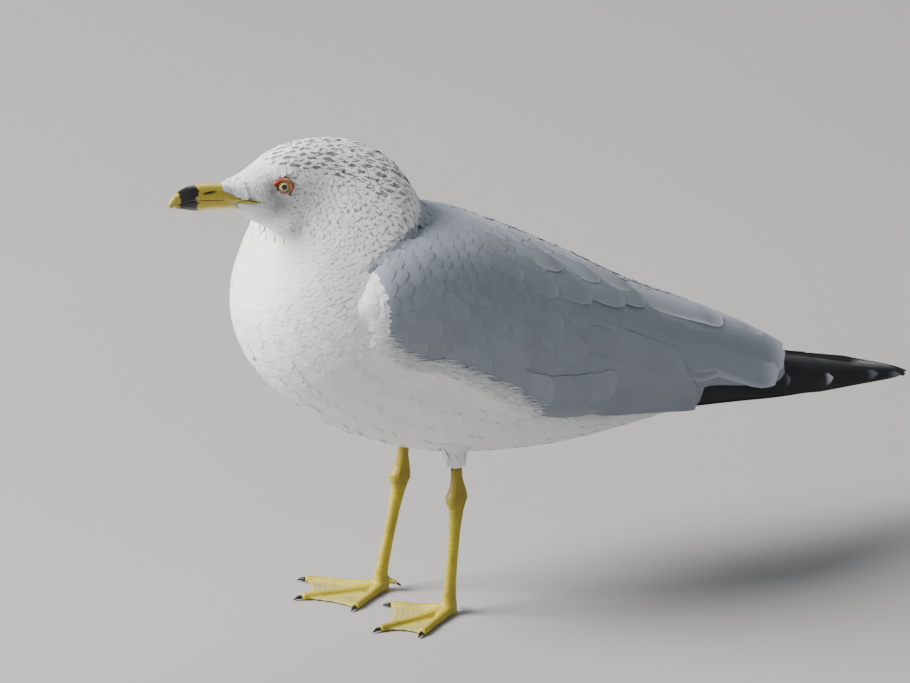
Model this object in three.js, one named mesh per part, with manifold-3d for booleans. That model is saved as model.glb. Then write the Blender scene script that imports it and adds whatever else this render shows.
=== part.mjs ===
// A standing ring-billed gull in winter plumage, life size, in millimetres.
// The bird faces -Y, its left side is +X, and its soles stand on Z = 0.
import * as THREE from 'three';
import { LoftGeometry } from 'three/addons/geometries/LoftGeometry.js';
import { mergeVertices } from 'three/addons/utils/BufferGeometryUtils.js';
import Module from 'manifold-3d';

// ---------------------------------------------------------------- driving dimensions
const GAP = 0.3; // clearance between pieces that touch
const MIRROR = [1, -1]; // left side, right side
const SIDE_NAMES = { 1: 'left', '-1': 'right' };

const HEAD_Y = -92.0; // middle of the head, between the eyes
const HEAD_Z = 242.8;
const EYE_SURFACE_X = 16.2; // how far the front of each eye stands from the midline
const EYE_BACK = 1.5; // the eyeballs sit a little behind and below the head's middle
const EYE_DOWN = 1.1;
const EYE_RADIUS = 4.9;
const HEAD_YAW = THREE.MathUtils.degToRad(10); // the head looks a little to its left

const BODY_RINGS = 38;
const BODY_SIDES = 24;
const TAIL_CUT_Y = 160;
const TAIL_RINGS = 8;
const TAIL_SIDES = 16;

const BARE_TIBIA_RADIUS = 3.0;
const THIGH_Z = 79; // where the feathers end on the leg
const ANKLE_HALF_HEIGHT = 6;
const FOOT_TOP_Z = 10;
const LEVEL_START = 0.8; // the tarsus rises upright this far, so that its lower end is level
const TOE_RADIUS = 2.6;
const TOE_TAPER = 0.4; // how much thinner a toe is at its claw
const KNUCKLE_SWELL = 0.1;
const KNUCKLES = 3;
const WEB_BOTTOM = 0.5;
const WEB_THICKNESS = 1.1;
const WEB_SAG = 0.2; // how far the web's edge falls back between two toes
const CLAW_LENGTH = 5;
const CLAW_Z = 1.7;
const CLAW_TIP_Z = 0.7;
const HIND_TOE_Z = 6.8;
const HIND_TOE_LENGTH = 7.0;
const HIND_CLAW_LENGTH = 2.8;
const THIGH_SIDES = 14;
const SHANK_SIDES = 12;
const TOE_SIDES = 8;
const TOE_STEPS = 4;

// ---------------------------------------------------------------- colours
const COLOURS = {
  white: 0xeeeeea,
  grey: 0x8f99a6,
  black: 0x17181b,
  yellow: 0xc3a83a,
  legYellow: 0xb79a1e,
  iris: 0xd9d6a0,
};

function material(name, roughness = 0.8) {
  return new THREE.MeshStandardMaterial({ color: COLOURS[name], roughness, metalness: 0 });
}

// ---------------------------------------------------------------- solids
const wasm = await Module();
wasm.setup();

function toSolid(geometry) {
  const plain = new THREE.BufferGeometry();
  plain.setAttribute('position', geometry.getAttribute('position'));
  if (geometry.index) plain.setIndex(geometry.index);
  const merged = mergeVertices(plain, 1e-4);
  return new wasm.Manifold(new wasm.Mesh({
    numProp: 3,
    vertProperties: Float32Array.from(merged.getAttribute('position').array),
    triVerts: Uint32Array.from(merged.index.array),
  }));
}

function toGeometry(solid) {
  const mesh = solid.getMesh();
  const geometry = new THREE.BufferGeometry();
  geometry.setAttribute('position', new THREE.BufferAttribute(mesh.vertProperties, 3));
  geometry.setIndex(new THREE.BufferAttribute(mesh.triVerts, 1));
  geometry.computeVertexNormals();
  return geometry;
}

const loft = (rings) => toSolid(new LoftGeometry(rings, { capStart: true, capEnd: true }));

// A curve through one column of a station table, read at an even rate from first to last row.
function column(stations, pick) {
  const points = stations.map((row) => new THREE.Vector3(...pick(row)));
  return new THREE.CatmullRomCurve3(points, false, 'catmullrom', 0.5);
}

// ---------------------------------------------------------------- head, neck and trunk
// Each station is one cut through the body: the point on its upper outline, the point on its
// lower outline (both as y, z), its half width, and where between them it is widest.
const BODY_STATIONS = [
  { upper: [-118.4, 246.8], lower: [-112.8, 232.2], half: 6.2, widest: 0.45 }, // bill base
  { upper: [-109.5, 248.6], lower: [-106.5, 228.0], half: 10.8, widest: 0.44 }, // lores
  { upper: [-98.8, 252.0], lower: [-96.5, 221.0], half: 14.8, widest: 0.4 }, // in front of the eye
  { upper: [-86.5, 257.3], lower: [-87.0, 215.5], half: 17.6, widest: 0.42 }, // crown
  { upper: [-69.5, 259.8], lower: [-88.0, 207.0], half: 20.5, widest: 0.44 }, // ear
  { upper: [-50.5, 258.0], lower: [-97.0, 194.0], half: 26.0, widest: 0.42 }, // nape
  { upper: [-31.5, 252.0], lower: [-106.2, 175.0], half: 35.5, widest: 0.4 }, // hind neck
  { upper: [-16.0, 240.5], lower: [-102.0, 152.0], half: 45.0, widest: 0.42 },
  { upper: [-7.5, 224.5], lower: [-85.3, 129.5], half: 51.0, widest: 0.46 }, // shoulders
  { upper: [5.0, 212.5], lower: [-52.5, 105.0], half: 52.0, widest: 0.47 },
  { upper: [28.0, 193.0], lower: [-12.0, 88.0], half: 48.5, widest: 0.46 }, // deepest
  { upper: [54.0, 160.0], lower: [30.0, 79.5], half: 41.0, widest: 0.45 },
  { upper: [83.0, 127.0], lower: [70.0, 77.0], half: 31.5, widest: 0.45 }, // rump
  { upper: [117.0, 109.0], lower: [108.0, 78.5], half: 23.0, widest: 0.45 },
  { upper: [150.0, 100.0], lower: [144.0, 82.0], half: 17.0, widest: 0.45 },
  { upper: [174.0, 96.0], lower: [170.0, 86.5], half: 13.0, widest: 0.45 }, // tail coverts
];
const TURN_FROM = 4; // the station where the head's turn starts to fade
const TURN_TO = 8; // and the one where it has gone

// Points on the head turn about the upright line through the middle of the head.
function turnHead(point, share = 1) {
  const angle = HEAD_YAW * share;
  const along = point.y - HEAD_Y;
  return new THREE.Vector3(
    point.x * Math.cos(angle) - along * Math.sin(angle),
    HEAD_Y + point.x * Math.sin(angle) + along * Math.cos(angle),
    point.z,
  );
}

// Every ring runs from the right side over the top to the left side and back underneath.
function bodyRing(upper, lower, half, widest, grow, sides = BODY_SIDES) {
  const spine = new THREE.Vector3().subVectors(upper, lower);
  const height = spine.length();
  spine.divideScalar(height);
  const ring = [];
  for (let j = 0; j < sides; j++) {
    const angle = (j / sides) * 2 * Math.PI;
    const rise = Math.sin(angle);
    const reach = rise > 0 ? (1 - widest) * height : widest * height;
    const level = widest * height + rise * (reach + grow);
    const point = lower.clone().addScaledVector(spine, level);
    point.x -= Math.cos(angle) * (half + grow);
    ring.push(point);
  }
  return ring;
}

function bodySolid(grow = 0) {
  const uppers = column(BODY_STATIONS, (row) => [0, ...row.upper]);
  const lowers = column(BODY_STATIONS, (row) => [0, ...row.lower]);
  const sizes = column(BODY_STATIONS, (row) => [row.half, row.widest, 0]);
  const last = BODY_STATIONS.length - 1;
  const rings = [];
  for (let i = 0; i <= BODY_RINGS; i++) {
    const t = i / BODY_RINGS;
    const size = sizes.getPoint(t);
    const ring = bodyRing(uppers.getPoint(t), lowers.getPoint(t), size.x, size.y, grow);
    const fade = 1 - THREE.MathUtils.smoothstep(t * last, TURN_FROM, TURN_TO);
    rings.push(ring.map((point) => turnHead(point, fade)));
  }
  return loft(rings);
}

// A slab that fills the space behind a plane; the normal points ahead.
function slabBehind(point, normal, depth = 400, width = 400) {
  const box = new THREE.BoxGeometry(width, width, depth);
  const turn = new THREE.Quaternion().setFromUnitVectors(new THREE.Vector3(0, 0, 1), normal);
  box.applyQuaternion(turn);
  const middle = point.clone().addScaledVector(normal, -depth / 2);
  box.translate(middle.x, middle.y, middle.z);
  return toSolid(box);
}

// The plane through two points of the midline, facing ahead.
function cutPlane(upper, lower) {
  const spine = new THREE.Vector3(0, upper[0] - lower[0], upper[1] - lower[1]).normalize();
  return {
    point: new THREE.Vector3(0, (upper[0] + lower[0]) / 2, (upper[1] + lower[1]) / 2),
    normal: new THREE.Vector3(0, -spine.z, spine.y),
  };
}

const HEAD_CUT = cutPlane([-41, 255], [-97, 212]); // nape to throat
const NECK_CUT = cutPlane([-2, 219], [-106, 166]); // foot of the hind neck to the breast
const TAIL_CUT = cutPlane([TAIL_CUT_Y + 4, 110], [TAIL_CUT_Y - 4, 80]);

function behind(cut, shift = 0) {
  return slabBehind(cut.point.clone().addScaledVector(cut.normal, shift), cut.normal);
}

const body = bodySolid();
const bodyRoom = bodySolid(GAP);

const behindHead = behind(HEAD_CUT);
const behindNeck = behind(NECK_CUT);
const behindTail = behind(TAIL_CUT);
const head = body.subtract(behindHead);
const neck = body.intersect(behind(HEAD_CUT, -GAP)).subtract(behindNeck);
const trunk = body.intersect(behind(NECK_CUT, -GAP)).subtract(behindTail);

// ---------------------------------------------------------------- eyes
function eyeSolid(side, grow = 0) {
  const ball = new THREE.SphereGeometry(EYE_RADIUS + grow, 12, 8);
  const x = side * (EYE_SURFACE_X - EYE_RADIUS);
  const centre = new THREE.Vector3(x, HEAD_Y + EYE_BACK, HEAD_Z - EYE_DOWN);
  const place = turnHead(centre);
  ball.translate(place.x, place.y, place.z);
  return toSolid(ball);
}

// ---------------------------------------------------------------- bill
// Stations from the base to the tip, as distance ahead of the eye and height above it.
const BILL_STATIONS = [
  { topAhead: 26.8, bottomAhead: 21.2, top: 4.2, bite: -3.8, bottom: -10.6, half: 6.0 }, // base
  { topAhead: 31.7, bottomAhead: 29.2, top: 5.2, bite: -2.9, bottom: -9.2, half: 5.3 },
  { topAhead: 37.7, bottomAhead: 36.7, top: 6.1, bite: -1.8, bottom: -7.7, half: 4.7 }, // nostril
  { topAhead: 44.0, bottomAhead: 43.8, top: 6.7, bite: -0.6, bottom: -7.0, half: 4.2 }, // gonys
  { topAhead: 50.0, bottomAhead: 49.5, top: 6.6, bite: 0.0, bottom: -5.4, half: 3.7 },
  { topAhead: 55.2, bottomAhead: 54.0, top: 5.3, bite: -0.2, bottom: -4.0, half: 3.0 },
  { topAhead: 59.6, bottomAhead: 57.5, top: 3.0, bite: -1.0, bottom: -3.1, half: 2.0 },
];
const HOOK = { ahead: 62.2, top: -0.4, bottom: -2.4, half: 0.7 };
const BILL_SIDES = 11;
const BILL_RINGS = 12;

// One half of the bill: a rounded side away from the bite and a flat side on it.
function billRing(far, bite, half, side) {
  const ring = [];
  for (let j = 0; j < BILL_SIDES; j++) {
    const angle = (j / (BILL_SIDES - 1)) * Math.PI;
    const x = -Math.cos(angle) * half * side;
    const share = Math.sin(angle) ** 0.85;
    const point = bite.clone().lerp(far, share);
    point.x = x;
    ring.push(turnHead(point));
  }
  return ring;
}

function billPoint(ahead, above) {
  return new THREE.Vector3(0, HEAD_Y - ahead, HEAD_Z + above);
}

function billSolid(isUpper) {
  const side = isUpper ? 1 : -1;
  const rows = [...BILL_STATIONS].reverse();
  const far = rows.map((row) => (isUpper
    ? billPoint(row.topAhead, row.top)
    : billPoint(row.bottomAhead, row.bottom)));
  const bite = rows.map((row) => {
    const share = (row.bite - row.bottom) / (row.top - row.bottom);
    const ahead = THREE.MathUtils.lerp(row.bottomAhead, row.topAhead, share);
    return billPoint(ahead, row.bite + (side * GAP) / 2);
  });
  const half = rows.map((row) => new THREE.Vector3(isUpper ? row.half : row.half * 0.88, 0, 0));
  if (isUpper) {
    far.unshift(billPoint(HOOK.ahead, HOOK.top));
    bite.unshift(billPoint(HOOK.ahead - 1.4, HOOK.bottom));
    half.unshift(new THREE.Vector3(HOOK.half, 0, 0));
  }
  const curves = [far, bite, half].map((points) => new THREE.CatmullRomCurve3(points));
  const rings = [];
  for (let i = 0; i <= BILL_RINGS; i++) {
    const [farPoint, bitePoint, size] = curves.map((curve) => curve.getPoint(i / BILL_RINGS));
    rings.push(billRing(farPoint, bitePoint, size.x, side));
  }
  return loft(rings);
}

// ---------------------------------------------------------------- wings
// Each station is one upright cut across the folded wing: its edge over the back, the corner
// that its curve bends round, and its lower edge, each as x, z, with the wing's thickness.
const WING_STATIONS = [
  { y: -61, back: [43.5, 189.0], corner: [50.0, 184.0], low: [46.5, 176.0], thick: 1.6 }, // bend
  { y: -54, back: [38.0, 202.5], corner: [59.0, 194.5], low: [51.0, 162.0], thick: 3.0 },
  { y: -42, back: [30.0, 212.3], corner: [66.5, 204.0], low: [53.0, 151.0], thick: 3.4 },
  { y: -20, back: [16.5, 217.8], corner: [72.0, 211.0], low: [54.5, 144.5], thick: 3.6 },
  { y: 10, back: [5.0, 215.3], corner: [74.5, 208.5], low: [54.5, 127.0], thick: 3.6 },
  { y: 38, back: [1.2, 203.5], corner: [71.0, 196.0], low: [49.0, 108.0], thick: 3.6 },
  { y: 65, back: [0.8, 190.0], corner: [63.5, 183.0], low: [43.0, 100.0], thick: 3.4 },
  { y: 95, back: [0.6, 173.5], corner: [55.5, 167.0], low: [34.5, 97.0], thick: 3.2 },
  { y: 125, back: [0.6, 156.5], corner: [45.0, 151.0], low: [28.0, 92.0], thick: 3.0 },
  { y: 153, back: [0.6, 143.5], corner: [35.0, 139.5], low: [25.0, 88.5], thick: 3.0 },
  { y: 158, back: [0.6, 141.0], corner: [33.5, 138.0], low: [25.0, 97.0], thick: 2.8 }, // tertials
  { y: 186, back: [0.8, 127.0], corner: [26.5, 126.0], low: [23.5, 93.0], thick: 2.2 },
  { y: 206, back: [1.4, 115.5], corner: [21.0, 116.5], low: [21.0, 91.5], thick: 1.6 },
  { y: 217, back: [3.0, 109.0], corner: [14.5, 110.0], low: [16.0, 99.0], thick: 1.2 },
];
const WING_RINGS = 26;
const WING_ARC = 7;
const EDGE_THICKNESS = 0.8;

function bladeRing(back, corner, low, thick, y) {
  const curve = new THREE.QuadraticBezierCurve(back, corner, low);
  const outer = [];
  const inner = [];
  for (let j = 0; j <= WING_ARC; j++) {
    const s = j / WING_ARC;
    const point = curve.getPoint(s);
    const tangent = curve.getTangent(s);
    const depth = EDGE_THICKNESS + (thick - EDGE_THICKNESS) * Math.sin(s * Math.PI) ** 0.7;
    outer.push(new THREE.Vector3(point.x, y, point.y));
    inner.push(new THREE.Vector3(point.x + tangent.y * depth, y, point.y - tangent.x * depth));
  }
  return [...outer, ...inner.reverse()];
}

function bladeSolid(stations, rings, bend = (point) => point) {
  const pick = (name) => column(stations, (row) => [row[name][0], row.y, row[name][1]]);
  const [backs, corners, lows] = ['back', 'corner', 'low'].map(pick);
  const thicks = column(stations, (row) => [row.thick, 0, 0]);
  const sections = [];
  for (let i = 0; i <= rings; i++) {
    const t = i / rings;
    const [back, corner, low] = [backs, corners, lows].map((curve) => curve.getPoint(t));
    const flat = [back, corner, low].map((point) => new THREE.Vector2(point.x, point.z));
    sections.push(bladeRing(...flat, thicks.getPoint(t).x, back.y).map(bend));
  }
  return loft(sections);
}

function mirrored(solid) {
  const mesh = solid.getMesh();
  const places = Float32Array.from(mesh.vertProperties);
  for (let i = 0; i < places.length; i += 3) places[i] *= -1;
  const faces = Uint32Array.from(mesh.triVerts);
  for (let i = 0; i < faces.length; i += 3) [faces[i], faces[i + 1]] = [faces[i + 1], faces[i]];
  return new wasm.Manifold(new wasm.Mesh({ numProp: 3, vertProperties: places, triVerts: faces }));
}

// The long flight feathers, folded into a blade that leaves the wing under the tertials.
const PRIMARY_STATIONS = [
  { y: 150, back: [13.0, 109.0], corner: [19.5, 107.0], low: [20.5, 87.0], thick: 2.2 },
  { y: 180, back: [8.0, 107.5], corner: [18.5, 105.5], low: [20.2, 84.8], thick: 2.2 },
  { y: 207, back: [5.5, 104.0], corner: [17.5, 102.5], low: [19.5, 82.5], thick: 2.0 },
  { y: 235, back: [4.5, 97.0], corner: [15.5, 96.0], low: [16.8, 80.8], thick: 1.8 },
  { y: 262, back: [4.6, 89.5], corner: [12.2, 89.0], low: [13.3, 79.3], thick: 1.5 },
  { y: 281, back: [5.8, 85.4], corner: [11.4, 84.8], low: [12.0, 78.6], thick: 1.2 },
  { y: 292, back: [8.0, 82.0], corner: [10.4, 81.6], low: [10.6, 78.4], thick: 0.9 },
];
const PRIMARY_RINGS = 14;

const FAR_TIP_SHIFT = new THREE.Vector3(-8, 12, 1); // the right wing's tip lies nearer the midline
const CROSS_FROM_Y = 222;
const WING_TIP_Y = 292;

function crossOver(point) {
  const share = THREE.MathUtils.smoothstep(point.y, CROSS_FROM_Y, WING_TIP_Y);
  return point.clone().addScaledVector(FAR_TIP_SHIFT, share);
}

// ---------------------------------------------------------------- tail
const TAIL_STATIONS = [
  { upper: [150, 99.0], lower: [150, 88.0], half: 13.5 },
  { upper: [175, 96.0], lower: [175, 88.5], half: 14.6 },
  { upper: [200, 93.5], lower: [200, 89.0], half: 14.8 },
  { upper: [222, 91.4], lower: [222, 88.8], half: 13.6 },
  { upper: [228, 90.8], lower: [228, 89.2], half: 11.0 },
];

function tailSolid() {
  const uppers = column(TAIL_STATIONS, (row) => [0, ...row.upper]);
  const lowers = column(TAIL_STATIONS, (row) => [0, ...row.lower]);
  const sizes = column(TAIL_STATIONS, (row) => [row.half, 0, 0]);
  const rings = [];
  for (let i = 0; i <= TAIL_RINGS; i++) {
    const t = i / TAIL_RINGS;
    const [upper, lower, size] = [uppers, lowers, sizes].map((curve) => curve.getPoint(t));
    rings.push(bodyRing(upper, lower, size.x, 0.5, 0, TAIL_SIDES));
  }
  return loft(rings);
}

// ---------------------------------------------------------------- legs and feet
const UP = new THREE.Vector3(0, 0, 1);
const AHEAD = new THREE.Vector3(0, -1, 0);

// A tube through points, with its radius across and its radius fore and aft at each.
// Nothing of it goes below the floor height given.
function tube(points, sizes, sides, forward = AHEAD, floor = -Infinity) {
  const rings = points.map((centre, i) => {
    const before = points[Math.max(i - 1, 0)];
    const after = points[Math.min(i + 1, points.length - 1)];
    const tangent = new THREE.Vector3().subVectors(after, before).normalize();
    const across = new THREE.Vector3().crossVectors(forward, tangent).normalize();
    const along = new THREE.Vector3().crossVectors(tangent, across);
    const ring = [];
    for (let j = 0; j < sides; j++) {
      const angle = (j / sides) * 2 * Math.PI;
      const point = centre.clone();
      point.addScaledVector(across, Math.cos(angle) * sizes[i][0]);
      point.addScaledVector(along, Math.sin(angle) * sizes[i][1]);
      point.z = Math.max(point.z, floor);
      ring.push(point);
    }
    return ring;
  });
  return loft(rings);
}

const LEGS = {
  1: {
    hip: new THREE.Vector3(20.0, 7.5, 96),
    ankle: new THREE.Vector3(22.4, 7.3, 63),
    foot: new THREE.Vector3(24.0, 1.5, 0),
    toes: { inner: [-3.0, -23.0], middle: [29.5, -47.5], outer: [48.0, -31.0] },
    spur: new THREE.Vector3(-0.75, 0.66, 0),
  },
  '-1': {
    hip: new THREE.Vector3(-24.0, 4.0, 100),
    ankle: new THREE.Vector3(-25.9, 1.3, 61.3),
    foot: new THREE.Vector3(-24.5, -11.5, 0),
    toes: { inner: [-3.5, -41.5], middle: [-34.0, -59.0], outer: [-59.5, -42.5] },
    spur: new THREE.Vector3(0.75, 0.66, 0),
  },
};

// The feathered thigh: a short cone out of the belly.
function thighSolid(leg) {
  const low = shankPoint(leg, THIGH_Z);
  const points = [low, shankPoint(leg, THIGH_Z + 4), shankPoint(leg, THIGH_Z + 10), leg.hip];
  return tube(points, [[3.9, 4.2], [5.4, 5.8], [7.6, 9.0], [9.5, 12.5]], THIGH_SIDES);
}

// A point of the line from the ankle to the hip, at a height.
function shankPoint(leg, z) {
  return leg.ankle.clone().lerp(leg.hip, (z - leg.ankle.z) / (leg.hip.z - leg.ankle.z));
}

function tibiaSolid(leg) {
  const bottom = shankPoint(leg, leg.ankle.z + ANKLE_HALF_HEIGHT + GAP);
  const top = shankPoint(leg, THIGH_Z - GAP);
  const points = [bottom, bottom.clone().lerp(top, 0.5), top];
  const radii = [[3.2, 3.8], [BARE_TIBIA_RADIUS, BARE_TIBIA_RADIUS], [3.0, 3.2]];
  return tube(points, radii, SHANK_SIDES);
}

function tarsusSolid(leg) {
  const low = new THREE.Vector3(leg.foot.x, leg.foot.y, FOOT_TOP_Z);
  const level = low.clone().setZ(FOOT_TOP_Z + LEVEL_START);
  const ankle = leg.ankle;
  const top = shankPoint(leg, ankle.z + ANKLE_HALF_HEIGHT);
  const at = (share) => low.clone().lerp(ankle, share);
  const points = [low, level, at(0.12), at(0.35), at(0.65), at(0.87), ankle, top];
  const radii = [
    [3.0, 3.9],
    [3.0, 3.9],
    [2.5, 3.4],
    [2.3, 3.2],
    [2.4, 3.3],
    [3.0, 4.2],
    [3.9, 5.4],
    [3.2, 3.8],
  ];
  return tube(points, radii, SHANK_SIDES);
}

function toeEnds(leg, tip) {
  const start = new THREE.Vector3(leg.foot.x, leg.foot.y, TOE_RADIUS);
  const clawTip = new THREE.Vector3(tip[0], tip[1], CLAW_TIP_Z);
  const direction = new THREE.Vector3().subVectors(clawTip, start).setZ(0).normalize();
  const end = clawTip.clone().addScaledVector(direction, -CLAW_LENGTH).setZ(CLAW_Z);
  return { start, end, clawTip, direction };
}

function toeSolid(leg, tip) {
  const { start, end } = toeEnds(leg, tip);
  const points = [];
  const radii = [];
  for (let i = 0; i <= TOE_STEPS; i++) {
    const t = i / TOE_STEPS;
    const knuckle = 1 + KNUCKLE_SWELL * Math.cos(t * KNUCKLES * 2 * Math.PI);
    const radius = TOE_RADIUS * (1 + TOE_TAPER * (0.4 - t)) * knuckle;
    const point = start.clone().lerp(end, t);
    point.z = radius * 0.85;
    points.push(point);
    radii.push([radius, radius]);
  }
  return tube(points, radii, TOE_SIDES, UP, 0);
}

function clawSolid(leg, tip) {
  const { end, clawTip, direction } = toeEnds(leg, tip);
  const root = end.clone().addScaledVector(direction, GAP);
  const bend = root.clone().lerp(clawTip, 0.55).setZ(CLAW_Z);
  const radii = [[1.3, 1.35], [1.0, 1.05], [0.3, 0.3]];
  return tube([root, bend, clawTip], radii, TOE_SIDES, UP, 0);
}

function webSolid(leg) {
  const { inner, middle, outer } = leg.toes;
  const heel = new THREE.Vector2(leg.foot.x, leg.foot.y);
  const ends = [inner, middle, outer].map((tip) => {
    const { end } = toeEnds(leg, tip);
    return new THREE.Vector2(end.x, end.y);
  });
  const shape = new THREE.Shape();
  shape.moveTo(heel.x, heel.y);
  shape.lineTo(ends[0].x, ends[0].y);
  for (const i of [0, 1]) {
    const sag = ends[i].clone().add(ends[i + 1]).multiplyScalar(0.5).lerp(heel, WEB_SAG);
    shape.quadraticCurveTo(sag.x, sag.y, ends[i + 1].x, ends[i + 1].y);
  }
  shape.closePath();
  const options = { depth: WEB_THICKNESS, bevelEnabled: false, curveSegments: 4 };
  const web = new THREE.ExtrudeGeometry(shape, options);
  web.translate(0, 0, WEB_BOTTOM);
  return toSolid(web);
}

function footSolid(leg) {
  const heel = leg.foot;
  const top = new THREE.Vector3(leg.foot.x, leg.foot.y, FOOT_TOP_Z - GAP);
  const points = [heel, heel.clone().lerp(top, 0.5), top];
  let foot = tube(points, [[3.6, 4.6], [3.5, 4.4], [3.0, 3.9]], THIGH_SIDES);
  for (const tip of Object.values(leg.toes)) foot = foot.add(toeSolid(leg, tip));
  const spur = halluxEnds(leg);
  foot = foot.add(tube([spur.start, spur.end], [[2.0, 2.0], [1.2, 1.2]], TOE_SIDES));
  return foot.add(webSolid(leg));
}

function halluxEnds(leg) {
  const back = leg.spur;
  const start = new THREE.Vector3(leg.foot.x, leg.foot.y + 1.5, HIND_TOE_Z);
  const end = start.clone().addScaledVector(back, HIND_TOE_LENGTH).setZ(HIND_TOE_Z - 1.8);
  const claw = end.clone().addScaledVector(back, HIND_CLAW_LENGTH).setZ(HIND_TOE_Z - 3.2);
  return { start, end, claw };
}

function halluxClawSolid(leg) {
  const { start, end, claw } = halluxEnds(leg);
  const direction = new THREE.Vector3().subVectors(end, start).normalize();
  const root = end.clone().addScaledVector(direction, GAP);
  return tube([root, claw], [[1.0, 1.0], [0.3, 0.3]], TOE_SIDES);
}

// ---------------------------------------------------------------- the bird
const gull = new THREE.Group();

function addPart(name, solid, colour, roughness) {
  const mesh = new THREE.Mesh(toGeometry(solid), material(colour, roughness));
  mesh.name = name;
  gull.add(mesh);
}

const leftSocket = eyeSolid(1, GAP);
const rightSocket = eyeSolid(-1, GAP);
addPart('head', head.subtract(leftSocket).subtract(rightSocket), 'white');
addPart('neck', neck, 'white');
addPart('trunk', trunk, 'white');
addPart('bill_upper', billSolid(true), 'yellow', 0.4);
addPart('bill_lower', billSolid(false), 'yellow', 0.4);

const coverts = body.intersect(behind(TAIL_CUT, -GAP));
addPart('tail', tailSolid().intersect(behind(TAIL_CUT, -GAP)).add(coverts), 'white');

const primaries = {
  1: bladeSolid(PRIMARY_STATIONS, PRIMARY_RINGS),
  '-1': mirrored(bladeSolid(PRIMARY_STATIONS, PRIMARY_RINGS, crossOver)),
};
const primaryRoom = bladeSolid(
  PRIMARY_STATIONS.map((row) => ({
    ...row,
    back: [row.back[0], row.back[1] + GAP],
    corner: [row.corner[0] + GAP, row.corner[1] + GAP],
    low: [row.low[0] + GAP, row.low[1] - GAP],
    thick: row.thick + 2 * GAP,
  })),
  PRIMARY_RINGS,
);
const wing = bladeSolid(WING_STATIONS, WING_RINGS).subtract(primaryRoom);
const wings = { 1: wing, '-1': mirrored(wing) };

for (const side of MIRROR) {
  const suffix = SIDE_NAMES[side];
  addPart(`wing_${suffix}`, wings[side].subtract(bodyRoom), 'grey');
  addPart(`primaries_${suffix}`, primaries[side].subtract(bodyRoom), 'black');
  addPart(`eye_${suffix}`, eyeSolid(side), 'iris', 0.1);
  const leg = LEGS[side];
  addPart(`thigh_${suffix}`, thighSolid(leg).subtract(bodyRoom), 'white');
  addPart(`tibia_${suffix}`, tibiaSolid(leg), 'legYellow', 0.6);
  addPart(`tarsus_${suffix}`, tarsusSolid(leg), 'legYellow', 0.6);
  addPart(`foot_${suffix}`, footSolid(leg), 'legYellow', 0.6);
  for (const [toe, tip] of Object.entries(leg.toes)) {
    addPart(`claw_${toe}_${suffix}`, clawSolid(leg, tip), 'black', 0.5);
  }
  addPart(`claw_hind_${suffix}`, halluxClawSolid(leg), 'black', 0.5);
}

// The origin is under the middle of the bird's bounding box.
const middle = new THREE.Box3().setFromObject(gull).getCenter(new THREE.Vector3());
gull.position.set(-middle.x, -middle.y, 0);

export default gull;
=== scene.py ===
"""The looks of the standing ring-billed gull: skin, plumage, bill, eyes, legs and feet.

Shapes are worked out in millimetres in the part's own station frame, with the bird facing -Y and
its left side at +X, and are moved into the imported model's frame when a mesh is made.
"""
import math

import bpy
import numpy as np
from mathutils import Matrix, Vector
from mathutils.bvhtree import BVHTree
from mathutils.kdtree import KDTree


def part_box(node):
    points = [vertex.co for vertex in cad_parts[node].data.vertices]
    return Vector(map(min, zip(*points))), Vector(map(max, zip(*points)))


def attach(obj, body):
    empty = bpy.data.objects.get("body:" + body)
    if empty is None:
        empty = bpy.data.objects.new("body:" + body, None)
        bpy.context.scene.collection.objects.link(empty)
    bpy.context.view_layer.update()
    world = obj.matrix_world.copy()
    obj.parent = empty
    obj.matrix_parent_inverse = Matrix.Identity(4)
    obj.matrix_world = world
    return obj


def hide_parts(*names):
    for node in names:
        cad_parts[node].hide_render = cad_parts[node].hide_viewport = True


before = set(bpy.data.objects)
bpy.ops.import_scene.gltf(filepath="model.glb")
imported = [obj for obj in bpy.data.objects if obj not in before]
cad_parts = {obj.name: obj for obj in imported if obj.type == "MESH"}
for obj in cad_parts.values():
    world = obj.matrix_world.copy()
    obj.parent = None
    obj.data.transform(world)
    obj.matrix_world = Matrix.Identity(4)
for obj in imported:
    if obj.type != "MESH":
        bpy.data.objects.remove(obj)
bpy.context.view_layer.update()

MM = 0.001
rng = np.random.default_rng(7)

# ------------------------------------------------------------------ the part's own frame
HEAD_Y = -92.0
HEAD_Z = 242.8
HEAD_YAW = math.radians(10)
EYE_RADIUS = 4.9
EYE_LEFT = np.array([10.868, -88.561, 241.7])
SHIFT = np.add(*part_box("eye_left")) / 2 / MM - EYE_LEFT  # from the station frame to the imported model's
SIDES = ((1, "left"), (-1, "right"))


def turn_head(points):
    """Turns points by the head's yaw about the upright line through the middle of the head."""
    c, s = math.cos(HEAD_YAW), math.sin(HEAD_YAW)
    along = points[:, 1] - HEAD_Y
    x = points[:, 0] * c - along * s
    y = HEAD_Y + points[:, 0] * s + along * c
    return np.stack([x, y, points[:, 2]], 1)


def head_frame(points):
    """Distance ahead of the eyes, to the left and above them, on the turned head."""
    c, s = math.cos(HEAD_YAW), math.sin(HEAD_YAW)
    x, along = points[:, 0], points[:, 1] - HEAD_Y
    return -(-x * s + along * c), x * c + along * s, points[:, 2] - HEAD_Z


def smooth(low, high, value):
    t = np.clip((value - low) / (high - low), 0, 1)
    return t * t * (3 - 2 * t)


def unit(vectors):
    return vectors / np.maximum(np.linalg.norm(vectors, axis=-1, keepdims=True), 1e-9)


def read(table, at, column=1):
    """A column of a table whose first column rises, read between its rows."""
    return np.interp(at, table[:, 0], table[:, column])


def cast(tree, start, way, reach, near=None):
    """Where a ray meets a tree, and the normal there; a missed ray gives the nearest point to near."""
    hit, face, _, _ = tree.ray_cast(Vector(start), Vector(way), reach)
    if hit is None and near is not None:
        hit, face, _, _ = tree.find_nearest(Vector(near))
    return hit, face


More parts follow.
